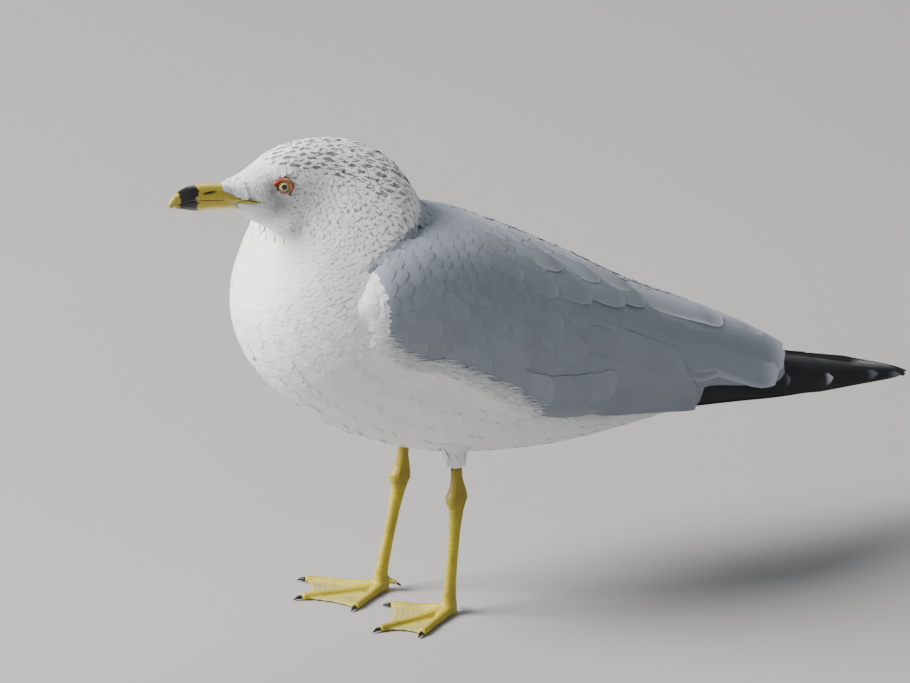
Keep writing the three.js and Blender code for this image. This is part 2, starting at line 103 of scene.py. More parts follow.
# ------------------------------------------------------------------ meshes
def make_piece(name, points, faces, material, values=None, maps=None, normals=None):
    """A mesh object from points in mm and arrays of faces, with point values and corner maps."""
    mesh = bpy.data.meshes.new(name)
    mesh.vertices.add(len(points))
    mesh.vertices.foreach_set("co", ((points + SHIFT) * MM).astype(np.float32).ravel())
    loops = np.concatenate([part.ravel() for part in faces]).astype(np.int32)
    totals = np.concatenate([np.full(len(part), part.shape[1]) for part in faces])
    starts = np.concatenate([[0], np.cumsum(totals)[:-1]]).astype(np.int32)
    mesh.loops.add(len(loops))
    mesh.loops.foreach_set("vertex_index", loops)
    mesh.polygons.add(len(totals))
    mesh.polygons.foreach_set("loop_start", starts)
    mesh.update(calc_edges=True)
    mesh.validate()
    mesh.polygons.foreach_set("use_smooth", np.ones(len(totals), bool))
    for key, data in (values or {}).items():
        layer = mesh.attributes.new(key, "FLOAT", "POINT")
        layer.data.foreach_set("value", data.astype(np.float32))
    for key, data in (maps or {}).items():
        layer = mesh.uv_layers.new(name=key)
        layer.data.foreach_set("uv", data[loops].astype(np.float32).ravel())
    if normals is not None and len(normals) == len(points):
        mesh.normals_split_custom_set_from_vertices(normals.tolist())
    elif normals is not None:
        mesh.normals_split_custom_set(normals.tolist())
    mesh.materials.append(material)
    piece = bpy.data.objects.new(name, mesh)
    bpy.context.scene.collection.objects.link(piece)
    return piece


def dress(piece):
    """The piece rides on the one body."""
    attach(piece, "root")
    return piece


def facing(faces, turned):
    return faces[:, ::-1] if turned else faces


def soft_corners(points, faces, soft):
    """Corner normals: the soft ones where they agree with the face, and otherwise its own."""
    corners = points[faces]
    own = np.cross(corners[:, 2] - corners[:, 0], corners[:, -1] - corners[:, 1])
    if faces.shape[1] == 3:
        own = np.cross(corners[:, 1] - corners[:, 0], corners[:, 2] - corners[:, 0])
    own, wanted = unit(own)[:, None], soft[faces]
    agree = (own * wanted).sum(-1, keepdims=True)
    return np.where(agree > 0.12, wanted, np.where(agree < -0.12, -wanted, own)).reshape(-1, 3)


def node_polygons(names):
    """Points in mm and polygons of some CAD nodes, in the station frame."""
    points, polygons = [], []
    for name in names:
        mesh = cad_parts[name].data
        base = len(points)
        points += [tuple(np.array(v.co) / MM - SHIFT) for v in mesh.vertices]
        polygons += [tuple(base + i for i in p.vertices) for p in mesh.polygons]
    return points, polygons


def remeshed(names, voxel, rounds):
    """Points, faces and normals of one closed skin over some CAD nodes."""
    points, polygons = node_polygons(names)
    mesh = bpy.data.meshes.new("remesh_source")
    mesh.from_pydata(points, [], polygons)
    source = bpy.data.objects.new("remesh_source", mesh)
    bpy.context.scene.collection.objects.link(source)
    weld = source.modifiers.new("weld", "WELD")
    weld.merge_threshold = 0.001
    grid = source.modifiers.new("grid", "REMESH")
    grid.mode = "VOXEL"
    grid.voxel_size = voxel
    relax = source.modifiers.new("relax", "SMOOTH")
    relax.factor = 0.5
    relax.iterations = rounds
    graph = bpy.context.evaluated_depsgraph_get()
    done = source.evaluated_get(graph).to_mesh()
    out = np.empty(len(done.vertices) * 3)
    done.vertices.foreach_get("co", out)
    normal = np.empty(len(done.vertices) * 3)
    done.vertices.foreach_get("normal", normal)
    quads = np.array([list(p.vertices) for p in done.polygons if len(p.vertices) == 4]).reshape(-1, 4)
    tris = np.array([list(p.vertices) for p in done.polygons if len(p.vertices) == 3]).reshape(-1, 3)
    source.evaluated_get(graph).to_mesh_clear()
    bpy.data.objects.remove(source)
    bpy.data.meshes.remove(mesh)
    return out.reshape(-1, 3), [quads, tris], normal.reshape(-1, 3)


# ------------------------------------------------------------------ materials
def linear(red, green, blue):
    """An sRGB colour from 0 to 255 as the shader's own numbers."""
    return [(c / 255) ** 2.2 for c in (red, green, blue)] + [1.0]


class Shader:
    """A node material, written as calls that each return an output socket."""

    def __init__(self, name, roughness=0.7, **sockets):
        self.material = bpy.data.materials.new(name)
        self.material.use_nodes = True
        self.tree = self.material.node_tree
        self.main = self.tree.nodes["Principled BSDF"]
        self.main.inputs["Roughness"].default_value = roughness
        for key, value in sockets.items():
            self.main.inputs[key.replace("_", " ")].default_value = value

    def node(self, kind, inputs=(), output=0, **settings):
        node = self.tree.nodes.new(kind)
        for key, value in settings.items():
            setattr(node, key, value)
        for key, value in dict(inputs).items():
            self.feed(node.inputs[key], value)
        return node.outputs[output]

    def feed(self, socket, value):
        if isinstance(value, bpy.types.NodeSocket):
            self.tree.links.new(value, socket)
        else:
            socket.default_value = value

    def place(self, scale=(1, 1, 1)):
        place = self.node("ShaderNodeTexCoord", output="Object")
        return self.node("ShaderNodeMapping", {"Vector": place, "Scale": scale})

    def value(self, name):
        return self.node("ShaderNodeAttribute", output="Fac", attribute_name=name)

    def noise(self, scale, detail=3.0, vector=None, output="Fac"):
        inputs = {"Scale": scale, "Detail": detail, "Vector": vector or self.place()}
        return self.node("ShaderNodeTexNoise", inputs, output=output)

    def ramp(self, value, low, high):
        inputs = {"Value": value, "From Min": low, "From Max": high}
        return self.node("ShaderNodeMapRange", inputs, interpolation_type="SMOOTHSTEP")

    def math(self, operation, a, b=0.0):
        return self.node("ShaderNodeMath", {0: a, 1: b}, operation=operation)

    def plus(self, a, b):
        return self.math("ADD", a, b)

    def times(self, a, b):
        return self.math("MULTIPLY", a, b)

    def mix(self, share, a, b):
        """From a to b, each a socket or a colour in sRGB from 0 to 255."""
        node = self.tree.nodes.new("ShaderNodeMix")
        node.data_type = "RGBA"
        for key, value in (("Factor", share), ("A", a), ("B", b)):
            self.feed(node.inputs[key], linear(*value) if isinstance(value, tuple) else value)
        return node.outputs["Result"]

    def layered(self, base, *layers):
        """A base colour, with each layer over it where the mesh's value of that name says."""
        for name, over in layers:
            base = self.mix(self.value(name), base, over)
        return base

    def colour(self, base, *layers):
        self.feed(self.main.inputs["Base Color"], self.layered(base, *layers))

    def bump(self, height, distance, strength=0.5):
        inputs = {"Height": height, "Distance": distance, "Strength": strength}
        self.feed(self.main.inputs["Normal"], self.node("ShaderNodeBump", inputs))
        return self.material


GREY_TONES = ((146, 152, 163), (132, 138, 148))


def plumage(name, base, shade, roughness=0.8, sheen=0.2):
    """Feather colour with a slight change from vane to vane and marks where the values say.

    The streaks and spots are drawn in the coat's own directions: along the lie of the feathers
    and across it, both in mm."""
    shader = Shader(name, roughness, Sheen_Weight=sheen, Sheen_Roughness=0.5)
    patch = shader.ramp(shader.noise(30.0), 0.3, 0.7)
    tone = shader.plus(shader.times(shader.value("tone"), 0.6), shader.times(patch, 0.4))
    ground = shader.mix(shader.value("grey"), shader.mix(tone, base, shade), shader.mix(tone, *GREY_TONES))
    dusk = shader.times(shader.value("smudge"), shader.ramp(shader.noise(420.0, 3.0), 0.1, 0.5))
    ground = shader.mix(dusk, ground, (122, 117, 117))
    lie = shader.node("ShaderNodeCombineXYZ", {"X": shader.value("along"), "Y": shader.value("across")})

    def dashes(key, long, wide, fill, less):
        """Staggered soft dashes, long mm apart along the feathers and wide mm apart across them."""
        drift = shader.node("ShaderNodeMapping", {"Vector": lie, "Scale": (0.9 / long, 0.45 / wide, 1)})
        sway = shader.node("ShaderNodeTexNoise", {"Vector": drift, "Scale": 1.0, "Detail": 2.0})
        apart = shader.node("ShaderNodeSeparateXYZ", {"Vector": lie}).node
        across = shader.plus(shader.math("DIVIDE", apart.outputs["Y"], wide), shader.times(sway, 2.4))
        column = shader.math("FLOOR", across)
        along = shader.plus(shader.math("DIVIDE", apart.outputs["X"], long), shader.times(column, 0.37))
        along = shader.plus(along, shader.times(sway, 1.7))
        beside = shader.times(shader.plus(shader.math("FRACT", across), -0.5), 3.3)
        ends = shader.times(shader.plus(shader.math("FRACT", along), -0.5), 2.4)
        away = shader.plus(shader.times(beside, beside), shader.times(ends, ends))
        density = shader.value(key)
        size = shader.plus(shader.times(density, fill), shader.times(sway, 1.2))
        drawn = shader.ramp(shader.math("SUBTRACT", size, away), less, less + 0.55)
        return shader.times(drawn, shader.ramp(density, 0.02, 0.3))

    brown = shader.mix(shader.noise(160.0), (104, 96, 92), (140, 132, 127))
    streaked = shader.mix(dashes("streak", 8.0, 2.4, 0.62, 0.0), ground, brown)
    pale_brown = shader.mix(shader.noise(120.0), (150, 142, 135), (184, 177, 171))
    spotted = shader.mix(dashes("spot", 4.6, 3.2, 0.6, 0.32), streaked, pale_brown)
    shader.colour(spotted, ("pale", (226, 231, 238)), ("black", (19, 19, 21)))
    barbs = shader.noise(900.0, 2.0, shader.place((1.0, 0.35, 1.0)))
    return shader.bump(barbs, 0.0002, 0.3)


WHITE = plumage("white_plumage", (244, 244, 242), (232, 234, 236))
GREY = plumage("grey_plumage", *GREY_TONES)
BLACK = plumage("black_plumage", (20, 20, 22), (15, 15, 17), 0.5, 0.02)


# ------------------------------------------------------------------ the body's own coordinates
# The upper and lower outline of the body at each station, as in the solids, with half widths.
BODY = np.array([
    [-118.4, 246.8, -112.8, 232.2, 6.2],
    [-109.5, 248.6, -106.5, 228.0, 10.8],
    [-98.8, 252.0, -96.5, 221.0, 14.8],
    [-86.5, 257.3, -87.0, 215.5, 17.6],
    [-69.5, 259.8, -88.0, 207.0, 20.5],
    [-50.5, 258.0, -97.0, 194.0, 26.0],
    [-31.5, 252.0, -106.2, 175.0, 35.5],
    [-16.0, 240.5, -102.0, 152.0, 45.0],
    [-7.5, 224.5, -85.3, 129.5, 51.0],
    [5.0, 212.5, -52.5, 105.0, 52.0],
    [28.0, 193.0, -12.0, 88.0, 48.5],
    [54.0, 160.0, 30.0, 79.5, 41.0],
    [83.0, 127.0, 70.0, 77.0, 31.5],
    [117.0, 109.0, 108.0, 78.5, 23.0],
    [150.0, 100.0, 144.0, 82.0, 17.0],
    [174.0, 96.0, 170.0, 86.5, 13.0],
])
STEPS_ALONG = 300
STEPS_UP = 30


def spline(rows, t):
    """The smooth curve through the rows of a table, read at t from 0 to 1."""
    last = len(rows) - 1
    place = np.clip(np.asarray(t) * last, 0, last)
    i = np.minimum(place.astype(int), last - 1)
    w = (place - i)[..., None]
    padded = np.vstack([2 * rows[0] - rows[1], rows, 2 * rows[-1] - rows[-2]])
    p0, p1, p2, p3 = (padded[i + k] for k in range(4))
    return 0.5 * (2 * p1 + (p2 - p0) * w + (2 * p0 - 5 * p1 + 4 * p2 - p3) * w ** 2
                  + (3 * p1 - p0 - 3 * p2 + p3) * w ** 3)


t_grid, w_grid = np.meshgrid(np.linspace(0, 1, STEPS_ALONG), np.linspace(0, 1, STEPS_UP), indexing="ij")
t_grid, w_grid = t_grid.ravel(), w_grid.ravel()


def side_point(t, w):
    row = spline(BODY, t)
    return row[:, 2:4] + (row[:, 0:2] - row[:, 2:4]) * w[:, None]


STEP_BACK = 0.01
grid_points = side_point(t_grid, w_grid)
grid_ahead = np.minimum(t_grid + STEP_BACK, 1), np.maximum(t_grid - STEP_BACK, 0)
grid_along = side_point(grid_ahead[0], w_grid) - side_point(grid_ahead[1], w_grid)
grid_along = grid_along / (grid_ahead[0] - grid_ahead[1])[:, None]
grid_up = spline(BODY, t_grid)[:, 0:2] - spline(BODY, t_grid)[:, 2:4]
back_line = side_point(np.linspace(0, 1, STEPS_ALONG), np.full(STEPS_ALONG, 0.85))
back_length = np.concatenate([[0], np.cumsum(np.linalg.norm(np.diff(back_line, axis=0), axis=1))])
grid_tree = KDTree(len(grid_points))
for index, (y, z) in enumerate(grid_points):
    grid_tree.insert((0, y, z), index)
grid_tree.balance()


def body_place(points):
    """Where points lie on the body: station from 0 to 15, height share, flow, unwrap, and the
    distances in mm along and across the lie of the feathers."""
    found = np.array([grid_tree.find((0, p[1], p[2]))[1] for p in points])
    gap, a, b = points[:, 1:] - grid_points[found], grid_along[found], grid_up[found]
    area = a[:, 0] * b[:, 1] - a[:, 1] * b[:, 0]
    t_more = (gap[:, 0] * b[:, 1] - gap[:, 1] * b[:, 0]) / area
    w_more = (a[:, 0] * gap[:, 1] - a[:, 1] * gap[:, 0]) / area
    t = np.clip(t_grid[found] + np.clip(t_more, -0.01, 0.01), 0, 1)
    w = np.clip(w_grid[found] + np.clip(w_more, -0.06, 0.06), -0.1, 1.1)
    way = unit(a)
    flow = np.stack([np.zeros(len(found)), way[:, 0], way[:, 1]], 1)
    height = np.linalg.norm(b, axis=1)
    angle = np.arctan2(points[:, 0], (w - 0.45) * height)
    unwrap = np.stack([0.02 + 0.96 * t, 0.5 + 0.96 * angle / (2 * math.pi)], 1)
    along = np.interp(t, np.linspace(0, 1, STEPS_ALONG), back_length)
    across = angle * (0.27 * height + 0.5 * spline(BODY, t)[:, 4])
    return t * (len(BODY) - 1), w, flow, unwrap, np.stack([along, across], 1)


# ------------------------------------------------------------------ markings
# Lower edge of the streaked crown and of the spotted cheeks: station, height share.
CROWN_EDGE = np.array([[1.5, 1.0], [2, 0.95], [3, 0.82], [4, 0.76], [5, 0.77], [6, 0.82], [7, 0.92]])
CHEEK_EDGE = np.array([[2, 0.6], [3, 0.08], [4, 0.22], [5, 0.42], [6, 0.5], [7, 0.68]])


def spread_out(a, b, size_a, size_b):
    """1 in the middle of a soft round patch, falling to 0 around it."""
    return np.exp(-(a / size_a) ** 2 - (b / size_b) ** 2)


def markings(points, station, share):
    """How strongly the head and neck are streaked, spotted and smudged, from 0 to 1."""
    ahead, _, above = head_frame(points)
    crown = smooth(-0.06, 0.05, share - read(CROWN_EDGE, station))
    crown = crown * smooth(1.9, 3.0, station)
    fade = 1 - smooth(6.7, 7.5, station)
    cheek = smooth(-0.08, 0.08, share - read(CHEEK_EDGE, station))
    cheek = cheek * smooth(2.2, 3.0, station) * fade * (1 - crown)
    low = spread_out(ahead - 2, above + 12, 9, 5)
    nape = smooth(5.0, 6.3, station) * smooth(0.55, 0.7, share)
    before_eye, below_eye = spread_out(ahead - 8.5, above + 0.5, 4.5, 5), spread_out(ahead - 6, above + 9, 6, 5)
    behind_eye = spread_out(ahead + 10, above + 2, 5, 2.5)
    return {
        "streak": crown * fade * (0.74 + 0.26 * smooth(4.6, 6.0, station)),
        "spot": cheek * np.clip(0.42 + 0.35 * low + 0.45 * nape, 0, 1),
        "smudge": np.clip(0.85 * before_eye + 0.6 * below_eye + 0.15 * behind_eye, 0, 1),
    }


# ------------------------------------------------------------------ the skin
BODY_NODES = ["head", "neck", "trunk", "tail", "thigh_left", "thigh_right"]
WING_NODES = ["wing_left", "wing_right"]
SKIN_VOXEL = 1.5


def coat_depth(points):
    """How far the skin lies inside the solids, from the bill's base to the body, in mm."""
    ahead, _, _ = head_frame(points)
    depth = 0.5 + 1.7 * smooth(24.0, -40.0, ahead)
    leg = smooth(92.0, 84.0, points[:, 2]) * smooth(60.0, 30.0, np.abs(points[:, 1]))
    thin = smooth(120.0, 170.0, points[:, 1])
    return depth * (1 - 0.45 * leg) * (1 - 0.4 * thin)


skin_points, skin_faces, skin_normals = remeshed(BODY_NODES, SKIN_VOXEL, 6)
skin_points = skin_points - skin_normals * coat_depth(skin_points)[:, None]
station, share, _, unwrap, lie = body_place(skin_points)
skin_values = markings(skin_points, station, share)
skin_values.update(tone=np.full(len(skin_points), 0.5), along=lie[:, 0], across=lie[:, 1])
skin = make_piece("skin", skin_points, skin_faces, WHITE, skin_values, {"OFBake": unwrap})
dress(skin)
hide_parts(*BODY_NODES)

outer_tree = BVHTree.FromPolygons(*node_polygons(BODY_NODES + WING_NODES))
wing_tree = BVHTree.FromPolygons(*node_polygons(WING_NODES))
body_tree = BVHTree.FromPolygons(*node_polygons(BODY_NODES))

# ------------------------------------------------------------------ body feathers
PATCH = 0.003  # how much of the unwrap one tuft takes
REACH = 14.0  # from how far outside the solids their surface is looked for


def land(points, normals, tree=outer_tree):
    """The outermost surface over each point, with its normal."""
    spots, faces = np.empty_like(points), np.empty_like(points)
    for i, (p, n) in enumerate(zip(points, normals)):
        spots[i], faces[i] = cast(tree, p + n * REACH, -n, 2 * REACH, p)
    return spots, faces


VANE_T = np.array([0.0, 0.3, 0.6, 0.82, 0.95])
VANE_W = np.array([0.35, 0.85, 1.0, 0.8, 0.42])
BARBS = 5


def vane_template():
    """Points and triangles of one small vane: a closed lens with barbs at its tip."""
    points, faces = [], []
    rows = len(VANE_T)
    for t, w in zip(VANE_T, VANE_W):
        points += [(t, -w, 0.0), (t, 0.0, 1.0), (t, w, 0.0)]
    under = {}
    for r in range(1, rows):
        under[r] = len(points)
        points.append((VANE_T[r], 0.0, -1.0))
    for r in range(rows - 1):
        a, b = 3 * r, 3 * (r + 1)
        low_a, low_b = under.get(r, a + 1), under.get(r + 1, b + 1)
        faces += [(a, b, b + 1), (a, b + 1, a + 1), (a + 1, b + 1, b + 2), (a + 1, b + 2, a + 2)]
        faces += [(a, low_b, b), (a, low_a, low_b), (low_a, a + 2, low_b), (a + 2, b + 2, low_b)]
    faces += [(b, under[rows - 1], b + 1), (b + 1, under[rows - 1], b + 2)]
    for k in range(BARBS):
        c = -0.8 + 1.6 * k / (BARBS - 1)
        t = 0.86 - 0.16 * c * c
        base = len(points)
        reach = 1.0 - 0.16 * abs(c) + 0.12 * (k % 2)
        points += [(t, c - 0.22, 0.2), (t, c + 0.22, 0.2), (t - 0.02, c, -0.8), (reach, c * 1.12, 0.0)]
        faces += [(base, base + 3, base + 1), (base + 1, base + 3, base + 2),
                  (base + 2, base + 3, base), (base, base + 1, base + 2)]
    faces = np.array(faces)
    keep = [len(set(face)) == 3 for face in faces.tolist()]
    return np.array(points), faces[keep][:, ::-1]


def hair_template():
    """Points and triangles of one hair-like strand of three sides."""
    ts, ws = (0.0, 0.25, 0.5, 0.75, 1.0), (1.0, 0.95, 0.8, 0.5, 0.1)
    points = [(t, k * w, lift) for t, w in zip(ts, ws) for k, lift in ((-1, 0.0), (0, 5.0), (1, 0.0))]
    faces = []
    for r in range(len(ts) - 1):
        for k in range(3):
            a, b = 3 * r + k, 3 * r + (k + 1) % 3
            faces += [(a, a + 3, b + 3), (a, b + 3, b)]
    last = 3 * (len(ts) - 1)
    faces += [(0, 1, 2), (last, last + 2, last + 1)]
    return np.array(points), np.array(faces)[:, ::-1]


VANE = vane_template()
HAIR = hair_template()


def scattered(count):
    """Root points on the skin, no two closer than their spacing, with their normals."""
    quads = skin_faces[0]
    tri = np.vstack([quads[:, [0, 1, 2]], quads[:, [0, 2, 3]]])
    a, b, c = (skin_points[tri[:, k]] for k in range(3))
    area = np.linalg.norm(np.cross(b - a, c - a), axis=1)
    centre = (a + b + c) / 3
    weight = area / (SPACING * feather_length(centre)) ** 2
    pick = rng.choice(len(tri), count, p=weight / weight.sum())
    u, v = rng.random(count), rng.random(count)
    flip = u + v > 1
    u[flip], v[flip] = 1 - u[flip], 1 - v[flip]
    points = a[pick] + (b[pick] - a[pick]) * u[:, None] + (c[pick] - a[pick]) * v[:, None]
    normals = unit(skin_normals[tri[pick, 0]])
    gap = SPACING * feather_length(points)
    cells, kept = {}, []
    size = gap.max()
    for i, p in enumerate(points):
        key = tuple((p // size).astype(int))
        near = [j for dx in (-1, 0, 1) for dy in (-1, 0, 1) for dz in (-1, 0, 1)
                for j in cells.get((key[0] + dx, key[1] + dy, key[2] + dz), ())]
        if all(((points[j] - p) ** 2).sum() > gap[i] ** 2 for j in near):
            cells.setdefault(key, []).append(i)
            kept.append(i)
    return points[kept], normals[kept]


def small_vanes(name, roots, normals, flow, length, width, lift, paint, tree=outer_tree, shape=VANE,
                end_flow=None, gentle=0.8, firm=0.2):
    """One coat piece of small vanes that lie along the flow over the surface of a tree.

    A vane is left out where the surface turns by more than firm (a cosine) on the way to its tip."""
    shape_points, shape_faces = shape
    flow = unit(flow - normals * (flow * normals).sum(1, keepdims=True))
    later = flow if end_flow is None else unit(end_flow - normals * (end_flow * normals).sum(1, keepdims=True))
    half_way, half_normal = land(roots + flow * length[:, None] * 0.5, normals, tree)
    tip_way = (flow + later) * length[:, None] * 0.5
    tip, tip_normal = land(roots + tip_way, unit(normals + half_normal), tree)
    along = (tip - roots) - normals * ((tip - roots) * normals).sum(1, keepdims=True)
    keep = ((tip_normal * normals).sum(1) > firm) & ((half_normal * normals).sum(1) > firm)
    keep &= np.abs(np.linalg.norm(along, axis=1) / length - 1) < 0.5
    roots, normals, length, width, lift = (data[keep] for data in (roots, normals, length, width, lift))
    half_way, half_normal, tip, tip_normal = (data[keep] for data in (half_way, half_normal, tip, tip_normal))
    paint = {key: data[keep] for key, data in paint.items()}
    count, each = len(roots), len(shape_points)
    half_way = half_way + half_normal * (lift[:, None] - 0.3)
    tip = tip + tip_normal * lift[:, None]
    bend = 2 * half_way - (roots + tip) / 2
    t, across, rise = (shape_points[:, k][None, :, None] for k in range(3))
    a, b, c = roots[:, None], bend[:, None], tip[:, None]
    curve = (1 - t) ** 2 * a + 2 * t * (1 - t) * b + t * t * c
    tangent = unit((1 - t) * (b - a) + t * (c - b))
    body = unit((1 - t) * normals[:, None] + t * tip_normal[:, None])
    side = unit(np.cross(tangent, body))
    up = np.cross(side, tangent)
    size = width[:, None, None]
    points = (curve + side * across * size + up * (rise * 0.06 - 0.07 * across ** 2) * size).reshape(-1, 3)
    _, _, _, unwrap, lie = body_place(roots)
    patch = np.stack([shape_points[:, 0] - 0.5, shape_points[:, 1] / 2], 1)[None] * PATCH
    faces = (shape_faces[None] + (np.arange(count) * each)[:, None, None]).reshape(-1, 3)
    values = {key: np.repeat(data, each) for key, data in paint.items()}
    values["tone"] = np.repeat(rng.random(count), each)
    values["along"] = (lie[:, :1] + shape_points[None, :, 0] * length[:, None]).ravel()
    values["across"] = (lie[:, 1:] + shape_points[None, :, 1] * width[:, None]).ravel()
    # the shading follows the body, and the vane's own roundness only a little
    soft = unit(gentle * body + (1 - gentle) * unit(up + side * across * 0.5)).reshape(-1, 3)
    piece = make_piece(name, points, [faces], WHITE, values,
                       {"OFBake": (unwrap[:, None] + patch).reshape(-1, 2)}, soft_corners(points, faces, soft))
    return dress(piece)


def feather_length(points):
    """The length of the small feathers, shortest round the bill and longest on the belly."""
    ahead, _, _ = head_frame(points)
    back = -ahead
    size = 3.2 + 3.4 * smooth(-22.0, 20.0, back) + 3.0 * smooth(10.0, 50.0, back)
    drop = smooth(215.0, 150.0, points[:, 2])
    size = np.maximum(size, 3.2 + 8.5 * drop)
    by_thigh = (np.abs(points[:, 1] - 2) < 22) * (np.abs(np.abs(points[:, 0]) - 23) < 14)
    return size * (1 - 0.6 * smooth(96.0, 82.0, points[:, 2]) * by_thigh)


UNDER_WING = 40.0  # how far over a root a wing still covers it
SHOULDER_Z = 180.0  # over this height a wing beside the root is enough


def shown(points):
    """1 where a root isn't well under a wing."""
    under = np.ones(len(points))
    for i, p in enumerate(points):
        out = Vector((math.copysign(1.0, p[0]), 0.0, 0.15)).normalized()
        hit, _ = cast(wing_tree, Vector(p) + out * 0.5, out, UNDER_WING)
        up, _ = cast(wing_tree, Vector(p) + Vector((0, 0, 0.5)), (0, 0, 1), UNDER_WING)
        if hit is not None and (up is not None or p[2] > SHOULDER_Z):
            under[i] = 0.0
    return under


EYE_OVAL = (1.9, 0.2, 5.7, 4.5)  # how far its middle lies ahead and above, half width, half height


def clear_of_eye(points):
    """True outside an oval round the eye, as the eye's own direction sees it."""
    ahead, left, above = head_frame(points)
    seen_from_eye = ahead - 0.5 * (np.abs(left) - 14.5)
    ahead_of_middle, over_middle, half_width, half_height = EYE_OVAL
    return ((seen_from_eye - ahead_of_middle) / half_width) ** 2 + ((above - over_middle) / half_height) ** 2 > 1


# The horn runs back along the gape as a wedge below the feathers: ahead, upper and lower edge.
GAPE = np.array([
    [12.4, -5.8, -6.2], [17.0, -4.9, -6.2], [21.0, -3.5, -6.0], [24.5, -1.7, -5.7],
    [27.5, 0.6, -5.5], [30.0, 2.0, -5.7], [33.0, 2.8, -5.9],
])
GAPE_MARGIN = 0.5


def in_gape(points):
    ahead, _, above = head_frame(points)
    top, low = read(GAPE, ahead) + GAPE_MARGIN, read(GAPE, ahead, 2) - GAPE_MARGIN
    return (ahead > GAPE[0, 0] - GAPE_MARGIN) & (above < top) & (above > low)


# Behind this line the feathers over the wings are grey, and there are none over the wing's side:
# height, y.
MANTLE_LINE = np.array([
    [160, -58], [172, -53.5], [197, -53.5], [199, -55], [210.5, -33.6], [215.6, -19], [222, -10], [232, 4],
])
SIDE_TOP = 198.0


SPACING = 0.235  # from root to root, as a share of the feathers' length
ROOT_PICKS = 120000

every_root, every_normal = scattered(ROOT_PICKS)
seen = (shown(every_root) > 0) & clear_of_eye(every_root) & ~in_gape(every_root)
every_root, every_normal = every_root[seen], every_normal[seen]
every_station, every_share, every_flow, _, _ = body_place(every_root)
on_thigh = (np.abs(every_root[:, 1]) < 20) & (np.abs(np.abs(every_root[:, 0]) - 23) < 12)
on_thigh &= every_root[:, 2] < 88
every_flow[on_thigh] = [0.0, 0.2, -1.0]
every_length = feather_length(every_root) * rng.uniform(0.9, 1.15, len(every_root))
reach = every_root + every_flow * every_length[:, None]
over = reach[:, 1] - read(MANTLE_LINE, reach[:, 2])
every_grey = smooth(-6.0, 3.0, over) * (every_station > 5.5) * (reach[:, 2] > SIDE_TOP)
on_side = (over > 0) & (every_station < 7.9) & (every_station > 5.0) & (every_share > 0.35)
on_side &= reach[:, 2] <= SIDE_TOP

COAT_PARTS = [  # name, first and last station, whether the feathers may lie over the wings
    ("head_feathers", -1.0, 5.0, True),
    ("neck_feathers", 5.0, 7.7, True),
    ("breast_feathers", 7.7, 9.6, False),
    ("belly_feathers", 9.6, 16.0, False),
]
for part_name, first, last, over_wings in COAT_PARTS:
    chosen = (every_station >= first) & (every_station < last) & ~(on_side & over_wings)
    roots, normals, length = every_root[chosen], every_normal[chosen], every_length[chosen]
    paint = markings(roots, every_station[chosen], every_share[chosen])
    paint["grey"] = every_grey[chosen]
    small_vanes(part_name, roots, normals, every_flow[chosen], length, length * 0.33,
                rng.uniform(-0.1, 0.03, len(roots)), paint, outer_tree if over_wings else body_tree,
                gentle=0.9, firm=0.86)

# the feathers that run forward over the sides of the bill, above the gape
BILL_FRONT = np.array([  # height over the eyes, how far ahead the feathers reach
    [-6, 18.0], [-3.5, 23.0], [-1.6, 25.8], [0.1, 28.2], [1.6, 31.2], [2.6, 31.8], [3.8, 31.0], [5.2, 29.4],
    [6.5, 27.5], [8, 25.0],
])


def from_head(ahead, left, above):
    """Points given ahead of, to the left of and above the eyes, on the turned head."""
    return turn_head(np.stack([left, HEAD_Y - ahead, HEAD_Z + above], -1).reshape(-1, 3))


def head_point(ahead, left, above):
    return from_head(*(np.array([v]) for v in (ahead, left, above)))[0]


BESIDE_HEAD = 40.0  # how far rays towards the head reach
head_zero = head_point(0, 0, 0)
head_left, head_back = head_point(0, 1, 0) - head_zero, head_point(-1, 0, 0) - head_zero
bill_tree = BVHTree.FromPolygons(*node_polygons(["head", "bill_upper", "bill_lower"]))
roots, normals = [], []
for side, _ in SIDES:
    for above in np.arange(-3.2, 7.6, 0.55):
        for ahead in np.arange(21.0, 32.2, 0.6):
            ahead, height = ahead + rng.uniform(-0.3, 0.3), above + rng.uniform(-0.25, 0.25)
            if ahead > read(BILL_FRONT, height):
                continue
            hit, face = cast(bill_tree, head_point(ahead, 25.0 * side, height), -head_left * side, BESIDE_HEAD)
            if hit is not None:
                roots.append(np.array(hit) - np.array(face) * 0.35)
                normals.append(np.array(face))
roots, normals = np.array(roots), np.array(normals)
length = rng.uniform(2.4, 3.3, len(roots))
small_vanes("bill_base_feathers", roots, normals, np.tile(head_back, (len(roots), 1)), length, length * 0.27,
            rng.uniform(0.45, 0.7, len(roots)), {}, bill_tree)

